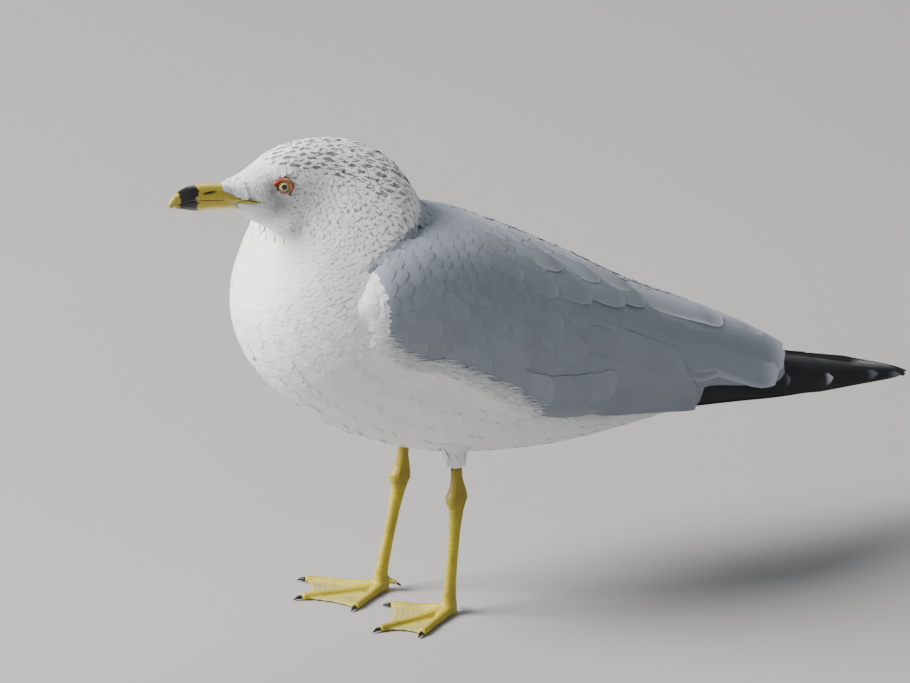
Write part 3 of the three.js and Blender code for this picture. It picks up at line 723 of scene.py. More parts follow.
# ------------------------------------------------------------------ wings
# The folded wing as in the solids: y, then x and z of the back edge, of the corner that the
# curve bends round and of the lower edge.
WING = np.array([
    [-61, 43.5, 189.0, 50.0, 184.0, 46.5, 176.0],
    [-54, 38.0, 202.5, 59.0, 194.5, 51.0, 162.0],
    [-42, 30.0, 212.3, 66.5, 204.0, 53.0, 151.0],
    [-20, 16.5, 217.8, 72.0, 211.0, 54.5, 144.5],
    [10, 5.0, 215.3, 74.5, 208.5, 54.5, 127.0],
    [38, 1.2, 203.5, 71.0, 196.0, 49.0, 108.0],
    [65, 0.8, 190.0, 63.5, 183.0, 43.0, 100.0],
    [95, 0.6, 173.5, 55.5, 167.0, 34.5, 97.0],
    [125, 0.6, 156.5, 45.0, 151.0, 28.0, 92.0],
    [153, 0.6, 143.5, 35.0, 139.5, 25.0, 88.5],
    [158, 0.6, 141.0, 33.5, 138.0, 25.0, 97.0],
    [186, 0.8, 127.0, 26.5, 126.0, 23.5, 93.0],
    [206, 1.4, 115.5, 21.0, 116.5, 21.0, 91.5],
    [217, 3.0, 109.0, 14.5, 110.0, 16.0, 99.0],
])
PRIMARY = np.array([
    [150, 13.0, 109.0, 19.5, 107.0, 20.5, 87.0],
    [180, 8.0, 107.5, 18.5, 105.5, 20.2, 84.8],
    [207, 5.5, 104.0, 17.5, 102.5, 19.5, 82.5],
    [235, 4.5, 97.0, 15.5, 96.0, 16.8, 80.8],
    [262, 4.6, 89.5, 12.2, 89.0, 13.3, 79.3],
    [281, 5.8, 85.4, 11.4, 84.8, 12.0, 78.6],
    [292, 8.0, 82.0, 10.4, 81.6, 10.6, 78.4],
])
FAR_TIP_SHIFT = np.array([-8.0, 12.0, 1.0])
FAR_DROOP = 7.0  # how far the very end of the far wing hangs
DROOP_FROM_Y = 255.0
CROSS_FROM_Y = 222.0
WING_TIP_Y = 292.0


class Blade:
    """The outer surface of a folded wing, read by y and by the share s across it."""

    def __init__(self, rows, side, crosses=False):
        self.fine = spline(rows, np.linspace(0, 1, 400))
        self.side = side
        self.crosses = crosses

    def at(self, y, s):
        row = [read(self.fine, y, k) for k in range(1, 7)]
        a, b, c = (1 - s) ** 2, 2 * s * (1 - s), s * s
        x = a * row[0] + b * row[2] + c * row[4]
        z = a * row[1] + b * row[3] + c * row[5]
        out = np.stack([x, y + 0 * s, z], -1)
        if self.crosses:
            share = smooth(CROSS_FROM_Y, WING_TIP_Y, y)
            out = out + share[..., None] * FAR_TIP_SHIFT
            fall = np.clip((y - DROOP_FROM_Y) / (WING_TIP_Y - DROOP_FROM_Y), 0, 1)
            out[..., 2] -= FAR_DROOP * fall ** 1.3
        out[..., 0] *= self.side
        return out

    def outward(self, y, s):
        across = self.at(y, s + 0.01) - self.at(y, s - 0.01)
        along = self.at(y + 1.0, s) - self.at(y - 1.0, s)
        return unit(np.cross(along, across)) * -self.side

    def arc(self, y):
        """The length across the blade at y, in mm."""
        y, s = np.meshgrid(y, np.linspace(0, 1, 9), indexing="ij")
        path = self.at(y, s)
        return np.linalg.norm(np.diff(path, axis=1), axis=2).sum(1)


LONG_T = np.array([0.0, 0.15, 0.3, 0.45, 0.6, 0.72, 0.82, 0.89, 0.94, 0.975, 1.0])
ACROSS = np.array([-1.0, -0.72, -0.36, 0.0, 0.36, 0.72, 1.0])


def width_profile(t, tip):
    """The half width along a vane, where the rounded tip starts at the share given."""
    root = 0.45 + 0.55 * smooth(0.0, 0.3, t)
    end = np.sqrt(np.clip(1 - np.clip((t - tip) / (1 - tip), 0, 1) ** 2.2, 0, 1))
    return root * np.maximum(end, 0.1)


def long_template():
    """Points (t, across, upper or under) and faces of one long vane, a thin closed plate."""
    rows, columns = len(LONG_T), len(ACROSS)
    points = [(t, c, 1.0) for t in LONG_T for c in ACROSS]
    under = {}
    for r in range(rows):
        for k in range(columns):
            edge = k in (0, columns - 1) or r in (0, rows - 1)
            under[r, k] = r * columns + k if edge else len(points)
            if not edge:
                points.append((LONG_T[r], ACROSS[k], -1.0))
    faces = []
    for r in range(rows - 1):
        for k in range(columns - 1):
            a = r * columns + k
            faces.append((a, a + columns, a + columns + 1, a + 1))
            faces.append((under[r, k], under[r, k + 1], under[r + 1, k + 1], under[r + 1, k]))
    return np.array(points), np.array(faces)


LONG_POINTS, LONG_FACES = long_template()
PLATE = 0.14  # thickness of a long vane
JAG = 0.3  # unevenness of its tip
LOWER_EDGE = ([10, 50], [0.955, 1.015])  # y, share: the flank feathers cover the lower edge in front
WHITE_FRONT = (-59.0, -56.5)  # the front of the folded wing is white, under the white tuft


def long_vanes(name, blade, rows, paint, material, tip=0.8, relief=1.0):
    """One piece of long vanes on a blade.

    Each row says root y and s, tip y and s, half width, and the heights of root and tip over the
    blade's surface. The rounded tips start at the share tip, and relief is how far they stand out."""
    rows = np.asarray(rows, float)
    t, across, level = (LONG_POINTS[:, k][None] for k in range(3))
    y0, s0, y1, s1, half, h0, h1 = (rows[:, k][:, None] for k in range(7))
    ease = t ** 1.15
    y = y0 + (y1 - y0) * t
    s = s0 + (s1 - s0) * ease
    arc = blade.arc(y.ravel()).reshape(y.shape)
    offset = across * half * width_profile(t, tip)
    s = np.clip(s + offset / arc, -0.01, np.interp(y, *LOWER_EDGE))
    jag = JAG * rng.normal(0, 1, y.shape) * (t > 0.85) * (t < 1)
    y = y + jag
    base = blade.at(y, s)
    out = blade.outward(np.clip(y, blade.fine[0, 0] + 1, blade.fine[-1, 0] - 1), np.clip(s, 0.02, 0.98))
    height = h0 + (h1 - h0) * t ** 1.4 - 0.35 * relief * across ** 2 * (h1 > 0)
    height = height + 0.22 * (np.abs(across) < 0.1) * (1 - t) * (level > 0)
    height = height - PLATE * (level < 0)
    points = base + out * height[..., None]
    count, each = len(rows), LONG_POINTS.shape[0]
    faces = (LONG_FACES[None] + (np.arange(count) * each)[:, None, None]).reshape(-1, 4)
    faces = facing(faces, blade.side > 0)
    toward = np.array([0.0, 1.0, 0.0])
    beside = unit(np.cross(out, toward)) * blade.side
    slope = 0.22 * relief * across ** 3 * (h1 > 0)
    tipped = 0.25 * relief * smooth(0.75, 1.0, t)
    soft = unit(out + beside * slope[..., None] + toward * tipped[..., None]).reshape(-1, 3)
    corner = soft_corners(points.reshape(-1, 3), faces, soft)
    pick = rng.random(count)[:, None] + 0 * t
    pale, black = paint(t + 0 * y, across + 0 * y, np.arange(count)[:, None] + 0 * y)
    pale = np.maximum(pale, 1 - smooth(*WHITE_FRONT, y))
    values = {"tone": pick.ravel(), "pale": pale.ravel(), "black": black.ravel()}
    columns = int(math.ceil(math.sqrt(count)))
    cell = 1.0 / columns
    place = np.stack([np.arange(count) % columns, np.arange(count) // columns], 1)[:, None] * cell
    local = np.stack([0.04 + 0.44 * (across + 1) / 2 + 0.5 * (level < 0), 0.04 + 0.92 * t], -1)
    island = (place + local * cell).reshape(-1, 2)
    piece = make_piece(name, points.reshape(-1, 3), [faces], material, values, {"OFBake": island}, corner)
    return dress(piece)


def faint(t, across, number):
    return 0.05 * smooth(0.9, 1.0, t), 0 * t


def plain(t, across, number):
    rim = smooth(0.93, 1.0, t) * 0.14 + 0.1 * smooth(0.85, 1.0, np.abs(across)) * smooth(0.3, 0.9, t)
    return rim, 0 * t


def white_tip(t, across, number):
    edge = 0.4 * smooth(0.78, 1.0, np.abs(across)) * smooth(0.3, 0.8, t)
    return np.maximum(0.62 * smooth(0.9, 0.99, t), edge), 0 * t


SPOTS = np.array([0.16, 0.7, 0.22, 0.2, 0.0, 0.0])  # how white each quill's tip spot is


def all_black(t, across, number):
    spot = smooth(0.95, 0.972, t) * (np.abs(across) < 0.5) * SPOTS[number.astype(int)]
    return np.ones_like(t), 1 - spot


def grid_faces(grid):
    """The faces between the points of a grid."""
    at = np.arange(grid.shape[0] * grid.shape[1]).reshape(grid.shape[:2])
    return np.stack([at[:-1, :-1], at[1:, :-1], at[1:, 1:], at[:-1, 1:]], -1).reshape(-1, 4)


def shell(name, top, low, material, values, turned=False):
    """A thin closed plate between two grids of points."""
    count = top.shape[0] * top.shape[1]
    at = np.arange(count).reshape(top.shape[:2])
    upper = grid_faces(top)
    ring = np.concatenate([at[0, :], at[1:, -1], at[-1, -2::-1], at[-2:0:-1, 0]])
    after = np.roll(ring, -1)
    rim = np.stack([ring, after, after + count, ring + count], -1)
    faces = np.vstack([upper, upper[:, ::-1] + count, rim])
    points = np.vstack([top.reshape(-1, 3), low.reshape(-1, 3)])
    return dress(make_piece(name, points, [facing(faces, turned)], material, values))


def tree_with(grid, turned):
    """The solids' outer surface together with a grid laid over it."""
    points, polygons = node_polygons(BODY_NODES + WING_NODES)
    more = facing(grid_faces(grid) + len(points), turned).tolist()
    return BVHTree.FromPolygons(points + [Vector(p) for p in grid.reshape(-1, 3)], polygons + more)


def grid_normals(grid, turned):
    along, across = np.gradient(grid, axis=0), np.gradient(grid, axis=1)
    return unit(np.cross(along, across)) * (-1 if turned else 1)


def over_grid(grid, normals, rows, columns):
    """Points and normals read between the points of a grid, at rows and columns from 0 to 1."""
    r, c = rows * (grid.shape[0] - 1), columns * (grid.shape[1] - 1)
    i, j = np.minimum(r.astype(int), grid.shape[0] - 2), np.minimum(c.astype(int), grid.shape[1] - 2)
    u, v = (r - i)[:, None], (c - j)[:, None]
    point, normal = ((1 - u) * (1 - v) * g[i, j] + u * (1 - v) * g[i + 1, j]
                     + (1 - u) * v * g[i, j + 1] + u * v * g[i + 1, j + 1] for g in (grid, normals))
    return point, unit(normal)


def blade_base(name, blade, ys, ss, depth, material, paint=None):
    """A thin closed shell just inside a blade's outer surface, which the vanes grow from."""
    y, s = np.meshgrid(ys, ss, indexing="ij")
    out = blade.outward(np.clip(y, blade.fine[0, 0] + 2, blade.fine[-1, 0] - 2), np.clip(s, 0.02, 0.98))
    inner = 0 * y if paint is None else paint(y, s)
    front = 1 - smooth(*WHITE_FRONT, y)
    pale = np.stack([front, np.maximum(front, inner)]).ravel()
    values = {"tone": np.full(2 * y.size, 0.5), "pale": pale}
    top, low = blade.at(y, s) - out * depth[0], blade.at(y, s) - out * depth[1]
    return shell(name, top, low, material, values, blade.side > 0)


def mirror(y, s):
    """The whitish patch near the tip of the far wing's longest quill, on its inner side."""
    return 0.75 * smooth(263, 266, y) * (1 - smooth(277, 281, y)) * (s < 0.62)


TOP_SHARE = 0.02


def covert_rows(ys, low_edge, apart, length, half, h0, h1):
    """Rows of overlapping coverts, from the wing's top down to the share that low_edge gives at y."""
    rows = []
    for number, y in enumerate(ys):
        reach = np.interp(y, *low_edge) - TOP_SHARE
        arc = float(blade.arc(y + length * 0.5)[0])
        steps = max(int(round(reach * arc / apart)), 1)
        for k in range(steps + 1):
            s = TOP_SHARE + reach * (k + 0.5 * (number % 2)) / steps + rng.normal(0, 0.004)
            if s > TOP_SHARE + reach + 0.01:
                continue
            size = length * rng.uniform(0.93, 1.07)
            start = y + rng.normal(0, 0.8)
            shift = rng.uniform(-0.06, 0.06)
            rows.append([start, s, start + size, s, half * rng.uniform(0.94, 1.06), h0, h1 + shift])
    return rows


def grey_vanes(name, rows, paint, tip, relief=1.0):
    long_vanes(name + "_" + suffix, blade, rows, paint, GREY, tip, relief)


for side, suffix in SIDES:
    blade = Blade(WING, side)
    base = blade_base("wing_base_" + suffix, blade, np.linspace(-59, 212, 90), np.linspace(0.01, 0.985, 26),
                      (0.9, 1.6), GREY)
    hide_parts("wing_" + suffix)
    lesser_edge, back_edge = ([-60, -10, 40, 60], [0.9, 0.9, 0.75, 0.6]), ([0, 30, 70], [0.25, 0.36, 0.3])
    lesser = covert_rows(np.arange(-61.5, 60, 6.5), lesser_edge, 7.0, 17.0, 5.4, -0.5, 0.02)
    grey_vanes("lesser_coverts", lesser, faint, 0.6, 0.3)
    back = covert_rows(np.arange(-2, 70, 10.0), back_edge, 12.0, 30.0, 8.0, -0.6, 0.3)
    grey_vanes("back_scapulars", back, plain, 0.6, 0.6)
    grey_vanes("long_scapulars", [
        [-18, 0.34, 34, 0.41, 9.0, -0.7, 0.35], [4, 0.37, 56, 0.445, 9.5, -0.6, 0.6],
        [26, 0.37, 80, 0.42, 9.5, -0.6, 0.8], [48, 0.34, 104, 0.36, 9.5, -0.6, 0.85],
        [66, 0.28, 121, 0.29, 9.0, -0.5, 0.8],
        [14, 0.22, 66, 0.27, 9.0, -0.5, 0.9], [38, 0.20, 92, 0.24, 9.0, -0.5, 1.0],
        [60, 0.14, 116, 0.18, 9.5, -0.4, 1.0],
    ], plain, 0.72)
    grey_vanes("median_coverts", [
        [-52, 0.72, -6, 0.70, 8.0, -0.8, 0.12], [-30, 0.70, 14, 0.655, 8.0, -0.8, 0.22],
        [-8, 0.64, 36, 0.595, 8.5, -0.8, 0.3], [8, 0.55, 56, 0.62, 8.5, -0.8, 0.25],
        [14, 0.46, 40, 0.50, 8.0, -0.8, 0.3],
    ], faint, 0.7, 0.6)
    grey_vanes("greater_coverts", [
        [-58, 0.86, -22, 0.80, 6.0, -0.8, 0.02], [-44, 0.84, -4, 0.83, 6.5, -0.8, 0.06],
        [-26, 0.83, 20, 0.80, 7.0, -0.8, 0.1], [-4, 0.80, 48, 0.76, 7.5, -0.8, 0.12],
        [14, 0.74, 72, 0.72, 7.5, -0.8, 0.14], [30, 0.66, 92, 0.66, 7.5, -0.8, 0.16],
    ], faint, 0.8, 0.5)
    lower = [[-20 + 14 * k, 0.93, 34 + 15 * k, 0.90 - 0.01 * k, 7.0, -0.9, 0.02] for k in range(5)]
    secondary = [[36 + 5 * k, 0.55 + 0.05 * k, 140 + 1.6 * k, 0.72 + 0.03 * k, 7.5, -0.9, 0.02]
                 for k in range(9)]
    grey_vanes("secondaries", lower + secondary, faint, 0.9, 0.5)
    grey_vanes("tertials", [
        [96, 0.62, 192, 0.80, 9.5, -0.9, -0.5], [98, 0.52, 206, 0.86, 9.5, -0.9, 0.25],
        [94, 0.40, 213, 0.62, 11.0, -0.9, 0.4], [90, 0.28, 214, 0.36, 12.0, -0.9, 0.5],
        [86, 0.12, 204, 0.14, 12.0, -0.9, 0.6], [72, 0.18, 176, 0.20, 12.0, -0.9, 0.7],
    ], white_tip, 0.88)
    quill = Blade(PRIMARY, side, crosses=side < 0)
    quill_base = blade_base("primaries_base_" + suffix, quill, np.linspace(151, 290, 50),
                            np.linspace(0.01, 0.99, 14), (0.35, 0.9), BLACK,
                            mirror if side < 0 else None)
    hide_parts("primaries_" + suffix)
    primary = [
        [152, 0.72, 216, 0.72, 6.0, -0.5, 0.45], [152, 0.70, 245, 0.74, 6.0, -0.6, 0.3],
        [152, 0.60, 276, 0.68, 5.5, -0.7, 0.15], [152, 0.75, 291, 0.84, 5.0, -0.8, 0.0],
        [152, 0.30, 240, 0.30, 7.5, -0.6, 0.25], [152, 0.40, 262, 0.35, 6.5, -0.7, 0.1],
    ]
    long_vanes("primaries_" + suffix + "_vanes", quill, primary, all_black, BLACK, 0.9)

# ------------------------------------------------------------------ feathers over the wings' edges
# the ridge of the back closes the groove between the two wings, over their inner edges
RIDGE_REACH = 3.0
RIDGE_FALL, RIDGE_RISE = 1.5, 2.1
RIDGE = np.array([[y, -x - RIDGE_REACH, z - RIDGE_FALL, 0.0, z + RIDGE_RISE, x + RIDGE_REACH, z - RIDGE_FALL]
                  for y, x, z in WING[2:13, :3]])
ridge = Blade(RIDGE, 1)
ridge_y, ridge_s = np.linspace(-38, 204, 70), np.linspace(0.0, 1.0, 9)
blade_base("mantle_base", ridge, ridge_y, ridge_s, (0.0, 1.2), GREY)
mantle_tree = tree_with(ridge.at(*np.meshgrid(ridge_y, ridge_s, indexing="ij")), True)
roots, normals = [], []
for y in np.arange(-34.0, 150.0, 2.6):
    width = np.interp(y, [-34, -10, 20, 60, 86, 150], [26, 22, 14, 9, 6, 4])
    for x in np.arange(-width, width + 0.1, 3.0):
        x, place = x + rng.uniform(-1, 1), y + rng.uniform(-1, 1)
        hit, face = cast(mantle_tree, (x, place, 300.0), (0, 0, -1), 300.0)
        if hit[1] <= read(MANTLE_LINE, hit[2]) - 4 or hit[2] < read(WING, place, 2) - 5:
            continue
        face = unit(np.array(face) + np.array([0, 0, 2.5]))
        roots.append(np.array(hit) - face * 1.0)
        normals.append(face)
roots, normals = np.array(roots), np.array(normals)
length = np.interp(roots[:, 1], [-34, 20, 86, 150], [9.5, 14, 18, 15]) * rng.uniform(0.9, 1.1, len(roots))
flow = np.stack([np.clip(roots[:, 0] * 0.02, -0.25, 0.25), np.ones(len(roots)), np.full(len(roots), -0.3)], 1)
width = length * np.interp(roots[:, 1], [-34, 0, 40, 150], [0.3, 0.24, 0.15, 0.12])
small_vanes("mantle_feathers", roots, normals, flow, length, width, rng.uniform(0.0, 0.15, len(roots)),
            {"grey": np.ones(len(roots))}, mantle_tree, gentle=0.93)

# the tail's long feathers, spread a little over one another
TAIL = np.array([
    [92, 0.5, 121.0, 16.0, 121.0, 26.0, 98.0], [117, 0.5, 109.4, 14.0, 109.0, 22.5, 95.0],
    [150, 0.5, 100.4, 10.0, 100.0, 17.0, 91.0], [172, 0.5, 96.4, 8.0, 96.2, 13.5, 91.5],
    [178, 0.5, 95.4, 7.5, 95.0, 12.5, 91.5],
])
for side, suffix in SIDES:
    rectrices = [[96, 0.1 + 0.14 * k, 175 - 0.8 * k, 0.1 + 0.155 * k, 5.5, -0.6, 0.9 - 0.14 * k]
                 for k in range(6)]
    long_vanes("tail_" + suffix, Blade(TAIL, side), rectrices[::-1], faint, WHITE, 0.86)


def beside_body(side, points):
    """Points on the body's side level with the given ones, with normals."""
    spots, normals = [], []
    for point in points:
        start = point + np.array([30.0 * side, 0, -6.0])
        hit, face = cast(body_tree, start, Vector((-side, 0, 0.2)).normalized(), 80.0, point)
        spots.append(hit)
        normals.append(face)
    return np.array(spots), np.array(normals)


def evened(grid, rounds):
    """A grid of points with its small bumps evened out; the outermost rows stay."""
    grid = grid.copy()
    for _ in range(rounds):
        middle = grid[1:-1, 1:-1]
        around = (grid[:-2, 1:-1] + grid[2:, 1:-1] + grid[1:-1, :-2] + grid[1:-1, 2:]) / 4
        grid[1:-1, 1:-1] = 0.5 * middle + 0.5 * around
    return grid


FLANK_YS = np.linspace(-63, 46, 56)
FLANK_SHARES = np.linspace(0, 1, 10)
TUFT_YS = np.linspace(-66.5, -52.5, 14)
TUFT_SHARES = np.linspace(0.0, 0.93, 22)
FLANK_FEATHERS, FLANK_HAIRS, TUFT_FEATHERS = 1500, 1200, 800  # on each side
for side, suffix in SIDES:
    blade = Blade(WING, side)
    # the flank's feathers lie over a smooth slope from the wing's lower edge down to the body
    edge = blade.at(np.maximum(FLANK_YS, -60), np.full(len(FLANK_YS), 0.985))
    edge = edge + blade.outward(np.maximum(FLANK_YS, -59), np.full(len(FLANK_YS), 0.97)) * 0.2
    edge[:, 1] = FLANK_YS
    lower = blade.at(np.maximum(FLANK_YS, -60), np.full(len(FLANK_YS), 1.0))
    lower[:, 1] = FLANK_YS
    near, near_normal = beside_body(side, lower - np.array([0, 2.0, 6.0]))
    far, far_normal = beside_body(side, lower - np.array([0, 5.0, 17.0]))
    ends = (smooth(-63, -57, FLANK_YS) * (1 - smooth(20, 46, FLANK_YS)))[:, None]
    u = FLANK_SHARES[None, :, None]
    bend = near + near_normal * 1.6
    foot = far - far_normal * 0.9
    slope = (1 - u) ** 2 * edge[:, None] + 2 * u * (1 - u) * bend[:, None] + u * u * foot[:, None]
    slope = evened(slope - near_normal[:, None] * (1 - ends[:, None]) * 3.0, 3)
    normals_grid = grid_normals(slope, side > 0)
    shell("flank_base_" + suffix, slope - normals_grid * 0.5, slope - normals_grid * 1.3, WHITE,
          {"tone": np.full(2 * slope.shape[0] * slope.shape[1], 0.5)}, side > 0)
    flank_tree = tree_with(slope, side > 0)
    count = FLANK_FEATHERS
    roots, normals = over_grid(slope, normals_grid, rng.uniform(0.0, 0.9, count), rng.uniform(0.05, 1.0, count))
    length = rng.uniform(6.0, 8.5, count)
    small_vanes("flank_edge_" + suffix, roots - normals * 0.8, normals, np.tile([0, 0.95, 0.12], (count, 1)),
                length, length * 0.24, rng.uniform(-0.1, 0.15, count), {}, flank_tree, gentle=0.95)
    count = FLANK_HAIRS
    roots, normals = over_grid(slope, normals_grid, rng.uniform(0.02, 0.9, count),
                               rng.uniform(0.0, 0.35, count))
    length = rng.uniform(8.0, 14.0, count)
    start_flow = np.stack([np.zeros(count), np.ones(count), rng.uniform(0.2, 0.7, count)], 1)
    small_vanes("flank_hairs_" + suffix, roots - normals * 0.5, normals, start_flow, length,
                rng.uniform(0.13, 0.24, count), rng.uniform(0.2, 0.9, count), {}, flank_tree,
                HAIR, start_flow - np.array([0, 0, 0.75]), 0.7)
    # the white tuft bulges over the front of the folded wing
    y, s = np.meshgrid(TUFT_YS, TUFT_SHARES, indexing="ij")
    point = blade.at(np.maximum(y, -60.5), s).reshape(-1, 3)
    point[:, 1] = y.ravel()
    outward = unit(np.array([side, -0.35, 0.1]))
    ground, _ = land(point, np.tile(outward, (len(point), 1)))
    a, b = (np.sin(math.pi * np.linspace(0, 1, len(line))) for line in (TUFT_YS, TUFT_SHARES))
    bulge = 2.8 * a[:, None, None] ** 0.7 * b[None, :, None] ** 0.6 - 1.0
    tuft = evened(ground.reshape(y.shape + (3,)) + outward * bulge, 12)
    normals_grid = grid_normals(tuft, side > 0)
    shell("tuft_base_" + suffix, tuft - normals_grid * 0.4, tuft - normals_grid * 1.2, WHITE,
          {"tone": np.full(2 * y.size, 0.5)}, side > 0)
    count = TUFT_FEATHERS
    roots, normals = over_grid(tuft, normals_grid, rng.uniform(0.14, 0.86, count),
                               rng.uniform(0.0, 0.88, count))
    length = rng.uniform(5.5, 8.5, count)
    small_vanes("shoulder_tuft_" + suffix, roots - normals * 0.6, normals, np.tile([0, 0.5, -0.85], (count, 1)),
                length, length * 0.3, rng.uniform(0.0, 0.15, count), {}, tree_with(tuft, side > 0),
                gentle=0.97, firm=0.8)

# ------------------------------------------------------------------ bill
BAND_FRONT = 56.5
BAND_REAR = 46.0
# the line where the halves of the bill meet: ahead of the eyes, height over them
CUT_LINE = np.array([[20, -4.3], [29, -3.0], [37, -1.8], [44, -0.6], [49.5, 0.0], [56, -0.5], [62, -1.6]])

# bill horn: yellow with a black band, a pale tip and fine streaks along it; mark is painted shade in the seam
# between the halves, in the nostril and along the gape
horn = Shader("bill_horn", 0.32, Coat_Weight=0.25, Coat_Roughness=0.25)
horn_streak = horn.ramp(horn.noise(60.0, 4.0, horn.place((1, 0.25, 1))), 0.3, 0.75)
horn.colour(horn.mix(horn_streak, (206, 184, 54), (188, 158, 42)), ("olive", (150, 146, 52)),
            ("pale", (168, 156, 72)), ("black", (34, 32, 34)), ("mark", (38, 30, 20)))
HORN = horn.bump(horn.noise(700.0, 4.0, horn.place((1, 0.3, 1))), 0.0001, 0.4)


def bill_values(points):
    """Where the horn is black, pale, olive and marked with painted shade in the seam and the nostril."""
    ahead, left, above = head_frame(points)
    wobble = 0.5 * np.sin(above * 1.3) + 0.35 * np.sin(above * 3.1 + left)
    rear = BAND_REAR + 1.4 * np.exp(-((above - 0.5) / 1.6) ** 2) - 1.2 * smooth(3.0, 6.5, above) + wobble
    behind_front = 1 - smooth(BAND_FRONT - 0.6, BAND_FRONT + 0.6, ahead + 0.4 * wobble)
    # painted shade along the seam where the halves of the bill meet
    line = np.exp(-((above - read(CUT_LINE, ahead)) / 0.28) ** 2) * smooth(8, 14, ahead)
    line = line * (1 - smooth(42, 47, ahead)) * 0.75
    return {
        "black": smooth(rear - 0.5, rear + 0.5, ahead) * behind_front,
        "pale": smooth(BAND_FRONT, BAND_FRONT + 2.0, ahead),
        # the seam and the nostril's hollow are painted dark as shade
        "mark": np.clip(np.maximum(line, smooth(0.25, 0.7, nostril(points))), 0, 1),
        "olive": 0.7 * (1 - smooth(16, 34, ahead)),
    }


NOSTRIL_AHEAD = 38.6
BILL_VOXEL, LEG_VOXEL = 0.33, 0.55


def nostril(points):
    """1 in the middle of the nostril's slit, 0 away from it."""
    ahead, left, above = head_frame(points)
    along = (ahead - NOSTRIL_AHEAD) / 5.2
    tall = (above - (2.4 + 0.05 * (ahead - NOSTRIL_AHEAD))) / 0.8
    return np.clip(1 - along ** 2 - tall ** 2, 0, 1) * (np.abs(left) > 1.2)


for part in ("bill_upper", "bill_lower"):
    points, faces, normals = remeshed([part], BILL_VOXEL, 3)
    ahead, left, above = head_frame(points)
    furrow = 0.25 * np.exp(-((np.abs(left) - 2.3) / 0.9) ** 2) * smooth(24, 30, ahead)
    furrow = furrow * smooth(0.1, 1.4, above) * smooth(3.8, 2.6, above)
    move = 0.12 - 1.2 * smooth(0.05, 0.6, nostril(points)) - furrow * (part == "bill_upper")
    points = points + normals * move[:, None]
    piece = dress(make_piece(part + "_horn", points, faces, HORN, bill_values(points)))
    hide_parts(part)

GAPE_ROWS = 26
GAPE_COLUMNS = 7

for side, suffix in SIDES:
    row, share = np.meshgrid(np.linspace(0, 1, GAPE_ROWS), np.linspace(0, 1, GAPE_COLUMNS), indexing="ij")
    ahead = GAPE[-1, 0] - (GAPE[-1, 0] - GAPE[0, 0]) * row
    low = read(GAPE, ahead, 2)
    above = low + (read(GAPE, ahead) - low) * share
    inward = -side * head_left
    spots = np.array([cast(bill_tree, point, inward, BESIDE_HEAD, point)[0]
                      for point in from_head(ahead, 30.0 * side + 0 * ahead, above)]).reshape(row.shape + (3,))
    bulge = 0.15 + 0.45 * np.sin(share * math.pi) ** 0.6 * (1 - smooth(0.8, 1.0, row))
    bulge = (bulge - 0.9 * (1 - smooth(0.0, 0.3, row)))[..., None]
    outer, inner = spots - inward * bulge, spots + inward * 1.2
    values = bill_values(np.vstack([outer.reshape(-1, 3), inner.reshape(-1, 3)]))
    # painted shade along the gape's lower edge, where the halves of the bill meet
    values["mark"] = np.tile(smooth(0.22, 0.05, share).ravel() * 0.8, 2)
    shell("gape_" + suffix, outer, inner, HORN, values, side < 0)

# ------------------------------------------------------------------ eyes
EYE_AXIS = (0.5, 0.85, 0.1)  # ahead, outwards, up
EYE_SPOT = (-2.3, 11.3, -0.1)
PUPIL = 15.1  # degrees from the axis
EYE_RINGS = np.array([0.5, 6, 11, 14, 14.9, 16, 20, 25, 30, 34, 37, 39.2, 41, 46, 60, 90, 125, 160, 179.5])
EYE_SIDES = 40
LIDS = np.array([  # half width in front and behind, half height, height over the eye's middle, in mm
    [3.3, 3.25, 2.85, 3.6], [3.45, 3.35, 2.95, 3.95], [3.8, 3.55, 3.1, 4.2], [4.5, 3.8, 3.25, 4.3],
    [5.3, 4.1, 3.45, 4.15], [5.9, 4.4, 3.6, 3.8], [6.2, 4.7, 3.9, 3.2], [6.3, 4.9, 4.1, 2.2],
])
LID_SIDES = 48


def tube_faces(rows, columns):
    at = np.arange(rows * columns).reshape(rows, columns)
    beside = np.roll(at, -1, 1)
    return np.stack([at[:-1], at[1:], beside[1:], beside[:-1]], -1).reshape(-1, 4)


eye_shader = Shader("eye", 0.12, Coat_Weight=1.0, Coat_Roughness=0.02)
iris = eye_shader.mix(eye_shader.noise(900.0, 3.0), (150, 144, 92), (196, 188, 132))
eye_shader.colour(iris, ("mark", (92, 84, 52)), ("black", (14, 14, 15)))
EYE = eye_shader.material

lid_shader = Shader("eye_ring", 0.5)
lid_red = lid_shader.mix(lid_shader.noise(500.0, 3.0), (150, 44, 30), (112, 30, 24))
lid_shader.colour(lid_red, ("tone", (146, 96, 58)), ("pale", (222, 214, 206)))
LID = lid_shader.bump(lid_shader.noise(1500.0, 2.0), 0.0001, 0.6)

